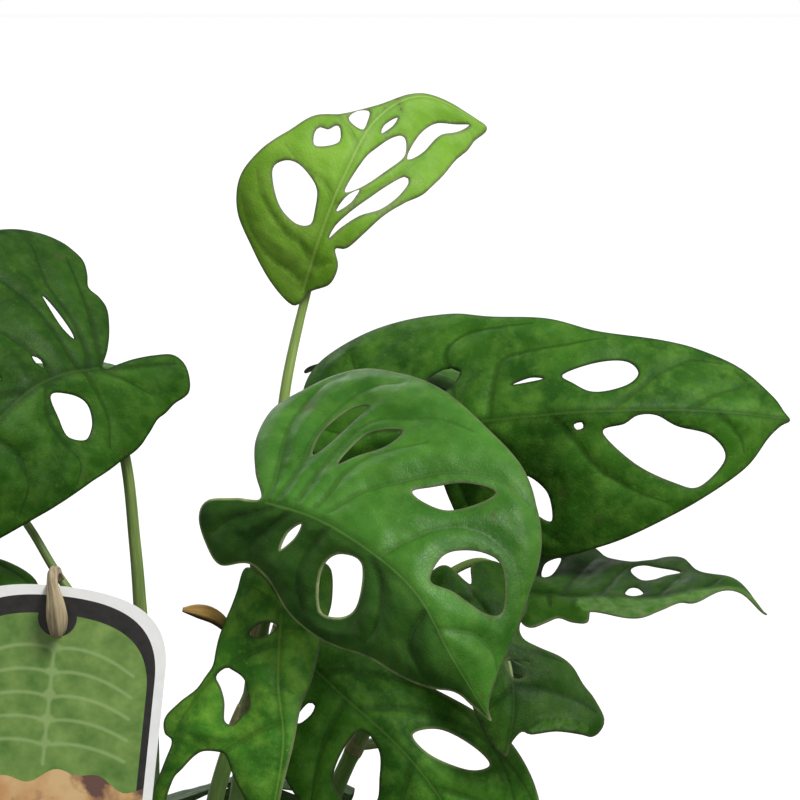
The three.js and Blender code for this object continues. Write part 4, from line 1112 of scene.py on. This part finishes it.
def node_sleeve(stem, foot, radii):
    """A papery sleeve on the stem above a node, narrow and ragged at its top."""
    line = stem_line(stem, 200)[round(200 * max(0, foot - 0.03)):][:SLEEVE_LENGTH]

    def radius(share, turn):
        r = radii[0] + (radii[1] - radii[0]) * foot
        ragged = 0.05 * math.sin(math.radians(5 * turn) + 40 * foot) * share
        return r * (1.05 + 0.3 * (1 - share) * math.sqrt(share + 0.05) + ragged)

    vertices, faces, flat = tube(line, radius, 24)
    return vertices, faces, 1, flat


def make_stems():
    """The vine stems, thicker at each node, with a papery sleeve above it."""
    green = stalk_paint("vine_stem", (0.22, 0.36, 0.09), (0.11, 0.22, 0.035))
    paper = simple_paint("dry_sheath", (0.17, 0.17, 0.06), (0.36, 0.32, 0.15), 0.5, (0.6, 0.8), 0.2)
    leaves = DRAWN + [dict(zip(GROWN_FIELDS, row)) for row in GROWN]
    for name, (radii, _) in STEMS.items():
        feet = [0.25 + 0.75 * leaf["foot"] for leaf in leaves if leaf["stem"] == name]

        def radius(share, turn, feet=feet, radii=radii):
            r = radii[0] + (radii[1] - radii[0]) * share
            knots = min(sum(swell(share - foot, KNOT) for foot in feet), KNOT[0])
            scars = min(sum(swell(share - foot, LEAF_SCAR) for foot in feet), LEAF_SCAR[0])
            wave = 0.03 * math.sin(math.radians(3 * turn) + 9 * share)
            return r * (1 + knots + scars + wave)

        shape = Shape()
        vertices, faces, flat = tube(stem_line(name, 110), radius, 18)
        shape.add(vertices, faces, 0, flat)
        for foot in feet:
            shape.add(*node_sleeve(name, foot, radii))
        place(shape.build(name + "_grown", [green, paper]), "vine_stem", name)


def soil_surface(reach):
    """The soil's crumbly top out to the pot's wall, closed below: vertices and faces."""
    spots = [(0.0, 0.0)]
    for i in range(1, SOIL_RINGS + 1):
        for k in range(SOIL_SPOKES):
            turn = (k + 0.5 * (i % 2)) / SOIL_SPOKES * 2 * math.pi
            spots.append((math.cos(turn) * reach * i / SOIL_RINGS, math.sin(turn) * reach * i / SOIL_RINGS))
    spots = np.array(spots)
    lift = 1.1 * ripple(spots, 2.0, 26) + 0.7 * ripple(spots, 5.0, 9) + 0.35 * ripple(spots, 9.0, 3.3)
    surface = np.column_stack([spots, SOIL_LEVEL - 0.4 + lift])
    faces = []
    for k in range(SOIL_SPOKES):
        faces.append((0, 1 + k, 1 + (k + 1) % SOIL_SPOKES))
    for i in range(SOIL_RINGS - 1):
        for k in range(SOIL_SPOKES):
            a, b = 1 + i * SOIL_SPOKES + k, 1 + i * SOIL_SPOKES + (k + 1) % SOIL_SPOKES
            faces.append((a, a + SOIL_SPOKES, b + SOIL_SPOKES, b))
    outer = [1 + (SOIL_RINGS - 1) * SOIL_SPOKES + k for k in range(SOIL_SPOKES)]
    low = surface[outer] * (1, 1, 0) + (0, 0, SOIL_LEVEL - SOIL_DEPTH)
    start = len(surface)
    surface = np.vstack([surface, low, [[0, 0, SOIL_LEVEL - SOIL_DEPTH]]])
    for k in range(SOIL_SPOKES):
        n = (k + 1) % SOIL_SPOKES
        faces.append((outer[k], start + k, start + n, outer[n]))
        faces.append((start + k, start + SOIL_SPOKES, start + n))
    return surface, faces


def make_soil():
    """Soil with crumbs, bits of bark and perlite on it."""
    random = np.random.default_rng(11)
    top = wall_at(SOIL_LEVEL) - POT_WALL - 0.4
    shape = Shape()
    shape.add(*soil_surface(top))
    corners = icosahedron()
    crumb_faces = hull_faces(corners)
    for i in range(CRUMBS):
        turn, out = random.uniform(0, 2 * math.pi), (top - 2) * math.sqrt(random.uniform(0, 1))
        kind = 2 if i % PERLITE_EVERY == 0 else 1 if i % BARK_EVERY == 0 else 0
        size = random.uniform(0.7, 2.0) if kind != 1 else random.uniform(1.5, 3.2)
        stretch = random.uniform(0.6, 1.3, 3) * (1, 1, 0.7)
        jitter = random.uniform(0.8, 1.15, (12, 1))
        place_at = (math.cos(turn) * out, math.sin(turn) * out, SOIL_LEVEL + 0.2)
        shape.add(corners * jitter * size * stretch + place_at, crumb_faces, kind)
    soil = simple_paint("potting_soil", (0.012, 0.008, 0.006), (0.045, 0.028, 0.018), 0.4, (0.8, 0.97), 0.5)
    bark = simple_paint("soil_bark", (0.030, 0.016, 0.009), (0.10, 0.055, 0.028), 0.5, (0.7, 0.9), 0.3)
    perlite = simple_paint("soil_perlite", (0.50, 0.48, 0.44), (0.75, 0.73, 0.69), 0.8, (0.75, 0.9), 0.2)
    place(shape.build("soil_top", [soil, bark, perlite], smooth=False), "potting_soil", "soil")


def icosahedron():
    """Its twelve corners, one away from the centre."""
    golden = (1 + 5**0.5) / 2
    flat = [(s, t * golden, 0) for s in (-1, 1) for t in (-1, 1)]
    turned = [(0, a, b) for a, b, _ in flat] + [(b, 0, a) for a, b, _ in flat]
    return unit(np.array(flat + turned))


def hull_faces(corners):
    """The triangles of a body whose corners all lie on its hull."""
    faces = []
    n = len(corners)
    for i in range(n):
        for j in range(n):
            for k in range(n):
                if i < j and i < k and j != k:
                    normal = np.cross(corners[j] - corners[i], corners[k] - corners[i])
                    if np.all((corners - corners[i]) @ normal < 1e-6):
                        faces.append((i, j, k))
    return faces


def wall_at(z):
    """The radius of the pot's outer wall at a height."""
    return POT_BASE_RADIUS + (POT_TOP_RADIUS - POT_BASE_RADIUS) * z / POT_HEIGHT


def lathe(profile, sides, reach):
    """Turns a closed (radius, height) profile round the Z axis, pushed out by reach(turn, radius, height)."""
    vertices, flat = [], []
    for i in range(sides):
        turn = i / sides * 2 * math.pi
        for r, z in profile:
            out = r + reach(turn, r, z)
            vertices.append((math.cos(turn) * out, math.sin(turn) * out, z))
            flat.append((turn * 60, r, z))
    n = len(profile)
    faces = []
    for i in range(sides):
        j = (i + 1) % sides
        for k in range(n):
            m = (k + 1) % n
            faces.append((i * n + k, j * n + k, j * n + m, i * n + m))
    return vertices, faces, flat


def make_pot():
    """A moulded pot: raised foot, fluted wall with two bands, rolled rim, thin floor."""
    rim = POT_TOP_RADIUS + RIM_REACH
    under = POT_HEIGHT - RIM_DEPTH
    inner = POT_TOP_RADIUS - POT_WALL
    low, high = POT_FLOOR
    profile = [(0.02, low), (38, low), (41, 1.6), (POT_BASE_RADIUS - 3, 0.0), (POT_BASE_RADIUS - 1, 0.25)]
    profile += [(wall_at(z), z) for z in np.linspace(2, under - 1, 34)]
    profile += [(wall_at(under) + 0.6, under - 0.3), (rim - 2.4, under), (rim - 0.9, under + 0.2)]
    for k in range(9):
        turn = math.radians(-80 + 20 * k)
        profile.append((rim - 2.2 + 2.2 * math.cos(turn), POT_HEIGHT - 4.5 + 4.5 * math.sin(turn)))
    profile += [(rim - 3.4, POT_HEIGHT - 0.1), (inner + 1.2, POT_HEIGHT - 0.4), (inner, POT_HEIGHT - 1.8)]
    profile += [(wall_at(z) - POT_WALL, z) for z in np.linspace(POT_HEIGHT - 4, 8, 12)]
    profile += [(POT_BASE_RADIUS - POT_WALL - 1, 5.4), (POT_BASE_RADIUS - POT_WALL - 3, high), (0.02, high)]

    def ribs(turn, r, z):
        if r <= wall_at(z) - 0.4 or not 1 < z < under - 1:
            return 0
        band = sum(bell(z - middle, BAND_WIDTH) for middle in BANDS)
        fluted = FLUTED[0] < z < FLUTED[1]
        flute = -FLUTE_DEPTH * max(0.0, math.cos(FLUTES * turn)) ** 3 if fluted else 0
        return flute - BAND_DEPTH * band

    shape = Shape()
    vertices, faces, flat = lathe(profile, 240, ribs)
    shape.add(vertices, faces, 0, flat)
    p = Paint("pot_plastic")
    flat = p.flat()
    cloud = p.span(p.noise(flat, 0.05, 4.0), 0.3, 0.7)
    colour = p.mix(cloud, (0.030, 0.034, 0.036), (0.048, 0.053, 0.055))
    dust = p.span(p.noise(flat, 0.25, 5.0, 0.7), 0.62, 0.8, 0.0, 0.35)
    colour = p.mix(dust, colour, (0.16, 0.14, 0.12))
    rough = p.span(p.noise(flat, 1.2, 3.0), 0.3, 0.7, 0.38, 0.56)
    grain = p.bump(p.noise(flat, 2.2, 2.0), 0.06)
    p.set(p.shader, {"Base Color": colour, "Roughness": rough, "Normal": grain})
    pot = shape.build("pot_moulded", [p.material])
    cut_drains(pot)
    place(pot, "pot_plastic", "pot")


def cut_drains(pot):
    """Drain holes through the pot's foot, cut and applied."""
    cutter = Shape()
    sides = 20
    for i in range(DRAIN_HOLES):
        turn = (i + 0.5) / DRAIN_HOLES * 2 * math.pi
        centre = np.array([math.cos(turn), math.sin(turn), 0]) * POT_BASE_RADIUS * 0.93
        turns = np.arange(sides) * 2 * math.pi / sides
        ring = [(math.cos(a) * DRAIN_RADIUS, math.sin(a) * DRAIN_RADIUS) for a in turns]
        body = [centre + (x, y, z) for z in (-4, 8) for x, y in ring]
        faces = [(k, (k + 1) % sides, sides + (k + 1) % sides, sides + k) for k in range(sides)]
        faces += [tuple(range(sides))[::-1], tuple(range(sides, 2 * sides))]
        cutter.add(body, faces)
    tool = cutter.build("drain_cutter", [])
    cut = pot.modifiers.new("drains", "BOOLEAN")
    cut.object = tool
    cut.operation = "DIFFERENCE"
    cut.solver = "EXACT"
    bpy.context.view_layer.update()
    whole = bpy.data.meshes.new_from_object(pot.evaluated_get(bpy.context.evaluated_depsgraph_get()))
    pot.modifiers.clear()
    old, pot.data = pot.data, whole
    bpy.data.meshes.remove(old)
    bpy.data.objects.remove(tool)


def bezier(points, steps):
    """A Bezier curve without its last point."""
    t = np.linspace(0, 1, steps, endpoint=False)[:, None]
    n = len(points) - 1
    return sum(math.comb(n, k) * (1 - t) ** (n - k) * t**k * np.array(p) for k, p in enumerate(points))


def tag_ring(inset):
    """The tag's outline round its hole, drawn in by an inset."""
    half, top = TAG_WIDTH / 2 - inset, TAG_HOLE_DROP - inset
    low = TAG_HOLE_DROP - TAG_HEIGHT + inset
    corner, shoulder = top - TAG_CORNER, TAG_CORNER * 0.6
    return np.vstack([
        bezier([(-half, low + shoulder), (-half, low), (shoulder - half, low)], 12),
        bezier([(shoulder - half, low), (half - shoulder, low)], 20),
        bezier([(half - shoulder, low), (half, low), (half, low + shoulder)], 12),
        bezier([(half, low + shoulder), (half, corner)], 18),
        bezier([(half, corner), (half, top - 6), (half - 14, top), (0, top)], 26),
        bezier([(0, top), (14 - half, top), (-half, top - 6), (-half, corner)], 26),
        bezier([(-half, corner), (-half, low + shoulder)], 18),
    ])


def tag_lines(field):
    """The printed leaf: a middle line and curved side lines, inside the field's outline."""
    foot = TAG_FOOT_LINE + 4
    lines = [np.column_stack([np.zeros(30), np.linspace(-9, foot, 30)])]
    for k in range(TAG_LINES):
        for sign in (-1, 1):
            y = -11 - TAG_LINE_PITCH * k
            line = bezier([(0.8 * sign, y), (14 * sign, y + 3), (30 * sign, y - 8 + k)], 20)
            line = line[is_inside(line, field * 0.97) & (line[:, 1] > foot)]
            if len(line) > 2:
                lines.append(line)
    return lines


def tag_paints():
    """The card, and the printed band, field and foot."""
    white = simple_paint("tag_card", (0.80, 0.80, 0.78), (0.88, 0.88, 0.86), 0.12, (0.3, 0.45), 0.04)
    band = simple_paint("tag_band", (0.012, 0.012, 0.011), (0.03, 0.028, 0.025), 0.2, (0.28, 0.42), 0.03)
    green, tan = Paint("tag_green"), Paint("tag_tan")
    where = green.flat()
    wash = green.span(green.noise(where, 0.09, 4.0, 0.6), 0.3, 0.7)
    colour = green.mix(wash, (0.07, 0.17, 0.025), (0.21, 0.33, 0.08))
    colour = green.mix(green.span(green.value("vein"), 0.2, 1.0, 0.6, 0.0), colour, (0.30, 0.42, 0.16))
    gloss = green.span(green.noise(where, 0.5, 3.0), 0.3, 0.7, 0.28, 0.42)
    grain = green.bump(green.noise(where, 2.0, 2.0), 0.02)
    green.set(green.shader, {"Base Color": colour, "Roughness": gloss, "Normal": grain})
    where = tan.flat()
    wash = tan.span(tan.noise(where, 0.07, 3.0, 0.5), 0.4, 0.6)
    colour = tan.mix(wash, (0.52, 0.27, 0.10), (0.62, 0.42, 0.20))
    stain = tan.span(tan.noise(tan.warp(where, 0.1, 6.0), 0.05, 4.0, 0.6), 0.52, 0.62)
    colour = tan.mix(stain, colour, (0.13, 0.065, 0.05))
    gloss = tan.span(tan.noise(where, 0.5, 3.0), 0.3, 0.7, 0.28, 0.42)
    tan.set(tan.shader, {"Base Color": colour, "Roughness": gloss, "Normal": tan.bump(stain, 0.02)})
    return [white, band, green.material, tan.material]


def make_tag():
    """A plain printed card: white border, dark band, green field with leaf lines, tan foot."""
    ring, print_ring = tag_ring(0), tag_ring(TAG_BORDER)
    foot = print_ring[:, 1].min()
    field_ring = (print_ring - (0, foot)) * TAG_FIELD + (0, foot)
    turns = np.linspace(0, 2 * math.pi, 40, endpoint=False)
    hole = np.column_stack([np.cos(turns), np.sin(turns)]) * TAG_HOLE_RADIUS
    collar = hole * TAG_COLLAR
    across = np.linspace(-38.5, 38.5, 50)
    lower = np.column_stack([across, TAG_FOOT_LINE + 2.5 * np.sin(across / 7) + 1.2 * np.sin(across / 2.6)])
    veins = tag_lines(field_ring)
    lines = [closed(print_ring), closed(field_ring), lower[is_inside(lower, print_ring)], *veins]
    flat, faces = flat_mesh([ring, hole], [*lines, closed(collar)], 2.4)

    middle = flat[faces].mean(1)
    paint = np.where(is_inside(middle, print_ring), 1, 0)
    paint[is_inside(middle, field_ring) & ~is_inside(middle, collar)] = 2
    low = middle[:, 1] < np.interp(middle[:, 0], lower[:, 0], lower[:, 1])
    paint[low & (paint > 0)] = 3
    vein = np.full(len(flat), FAR)
    for line in veins:
        vein = np.minimum(vein, distance_to(flat, line)[0])

    n = len(flat)
    bow = TAG_BOW * np.sin(flat[:, 0] / TAG_WIDTH * math.pi) ** 2
    front = [tag_point(x, y, TAG_THICKNESS - b) for (x, y), b in zip(flat, bow)]
    back = [tag_point(x, y, 0.05) for x, y in flat]
    sides = [(b, a, a + n, b + n) for a, b in open_edges(faces)]
    shape = Shape()
    spots = np.column_stack([flat, np.zeros(n)])
    shape.add(front + back, faces, 0, np.vstack([spots, spots]), vein=np.tile(vein, 2))
    shape.faces += [tuple(int(i) + n for i in f[::-1]) for f in faces] + sides
    shape.finish = list(paint) + [0] * (len(faces) + len(sides))
    piece = shape.build("tag_printed", tag_paints(), smooth=False)
    place(piece, "tag_card", "tag")


def tag_point(x, y, depth):
    """A point of the tag in the frame: x and y from its hole, depth from its back to its face."""
    turn = math.radians(TAG_TILT)
    x0, y0, z0 = TAG_HANGS_FROM
    east, up = x * math.cos(turn) + y * math.sin(turn), y * math.cos(turn) - x * math.sin(turn)
    return (x0 + east, y0 - depth, z0 + up)


def make_tie():
    """A papery sleeve, gathered in creases, that goes through the tag's hole to the stalk."""
    def radius(share, turn):
        width = 1.9 + 1.8 * bell(share - 0.4, 0.16)
        crease = 0.10 * math.sin(math.radians(5 * turn) + 5 * share)
        fine = 0.05 * math.sin(math.radians(11 * turn))
        return width * (0.94 + (crease + fine))

    shape = Shape()
    vertices, faces, flat = tube(smooth_line(TIE_LINE, 60), radius, 40)
    shape.add(vertices, faces, 0, flat)
    low, high, along = (0.22, 0.17, 0.09), (0.44, 0.36, 0.22), (0.12, 1.0, 1.0)
    paper = simple_paint("tie_paper", low, high, 0.8, (0.7, 0.9), 0.25, along)
    place(shape.build("tag_tie_sleeve", [paper]), "tag_tie", "tag_tie")


def make_bud_sheath():
    """A drying bud scale: orange above, olive at the stalk's end, dark brown below."""
    def radius(share, turn):
        width = 0.5 + 2.8 * math.sin(math.pi * (0.1 + 0.85 * share))
        hollow = 0.35 * bell(turn - 180, 50)
        return width * (1 - hollow + 0.05 * math.sin(math.radians(9 * turn)))

    shape = Shape()
    vertices, faces, flat = tube(smooth_line(SCALE_LINE, 40), radius, 28)
    shape.add(vertices, faces, 0, flat)
    p = Paint("bud_sheath")
    flat = p.flat()
    parts = p.node("ShaderNodeSeparateXYZ", {0: flat}).outputs
    streaks = p.noise(flat, 0.8, 4.0, 0.6, (0.15, 1.0, 1.0))
    colour = p.mix(p.span(streaks, 0.35, 0.65), (0.42, 0.22, 0.04), (0.56, 0.36, 0.09))
    olive = p.span(p.math("ADD", parts[0], p.math("MULTIPLY", streaks, 5.0)), 13.0, 6.0)
    colour = p.mix(olive, colour, (0.14, 0.19, 0.03))
    brown = p.span(p.math("ADD", parts[1], p.math("MULTIPLY", streaks, 3.0)), 1.6, -1.0)
    colour = p.mix(brown, colour, (0.06, 0.022, 0.008))
    rough = p.span(streaks, 0.3, 0.7, 0.5, 0.7)
    p.set(p.shader, {"Base Color": colour, "Roughness": rough, "Normal": p.bump(streaks, 0.3)})
    place(shape.build("bud_scale", [p.material]), "bud_sheath", "bud_sheath")


def make_stage():
    """A plain floor, a soft sky and the lights."""
    mesh = bpy.data.meshes.new("floor")
    corners = [(FLOOR_REACH * x, FLOOR_REACH * y, 0) for x, y in ((-1, -1), (1, -1), (1, 1), (-1, 1))]
    mesh.from_pydata(corners, [], [(0, 1, 2, 3)])
    floor = bpy.data.objects.new("floor", mesh)
    bpy.context.scene.collection.objects.link(floor)
    mesh.materials.append(Paint("floor", Base_Color=(0.9, 0.9, 0.9), Roughness=0.9).material)
    floor.visible_diffuse = False
    floor.visible_glossy = False

    world = bpy.data.worlds.new("studio")
    bpy.context.scene.world = world
    world.use_nodes = True
    tree = world.node_tree
    where = tree.nodes.new("ShaderNodeTexCoord")
    split = tree.nodes.new("ShaderNodeSeparateXYZ")
    height = tree.nodes.new("ShaderNodeMapRange")
    ramp = tree.nodes.new("ShaderNodeValToRGB")
    height.inputs["From Min"].default_value = -1
    tree.links.new(where.outputs["Generated"], split.inputs[0])
    tree.links.new(split.outputs["Z"], height.inputs["Value"])
    tree.links.new(height.outputs[0], ramp.inputs[0])
    tree.links.new(ramp.outputs[0], tree.nodes["Background"].inputs["Color"])
    stops = ramp.color_ramp.elements
    while len(stops) < len(SKY):
        stops.new(0.5)
    for stop, (position, level) in zip(stops, SKY):
        stop.position = position
        stop.color = (level, level, level, 1)

    for name, strength, softness, turn in LIGHTS:
        sun = bpy.data.lights.new(name, "SUN")
        sun.energy = strength
        sun.angle = math.radians(softness)
        lamp = bpy.data.objects.new(name, sun)
        lamp.rotation_euler = [math.radians(a) for a in turn]
        bpy.context.scene.collection.objects.link(lamp)


def make_camera():
    """The photo's view."""
    lens = bpy.data.cameras.new("view")
    lens.lens = VIEW_LENS
    lens.sensor_width = 36
    lens.clip_end = 1000
    camera = bpy.data.objects.new("view", lens)
    pitch = math.radians(VIEW_PITCH)
    x, y, z = VIEW_CENTRE
    eye = (x, y - VIEW_DISTANCE * math.cos(pitch), z + VIEW_DISTANCE * math.sin(pitch))
    camera.location = [MM * v for v in eye]
    camera.rotation_euler = (math.radians(90) - pitch, 0, 0)
    bpy.context.scene.collection.objects.link(camera)
    bpy.context.scene.camera = camera
    bpy.context.scene.view_settings.view_transform = "Standard"


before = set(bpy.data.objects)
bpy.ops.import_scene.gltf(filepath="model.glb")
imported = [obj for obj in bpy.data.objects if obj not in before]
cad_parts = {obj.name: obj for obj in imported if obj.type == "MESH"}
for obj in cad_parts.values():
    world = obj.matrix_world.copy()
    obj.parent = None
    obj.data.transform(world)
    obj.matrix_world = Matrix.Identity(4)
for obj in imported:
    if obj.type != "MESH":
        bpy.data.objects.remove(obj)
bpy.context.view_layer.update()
make_camera()
make_stage()
make_leaves()
make_stems()
make_soil()
make_pot()
make_tag()
make_tie()
make_bud_sheath()
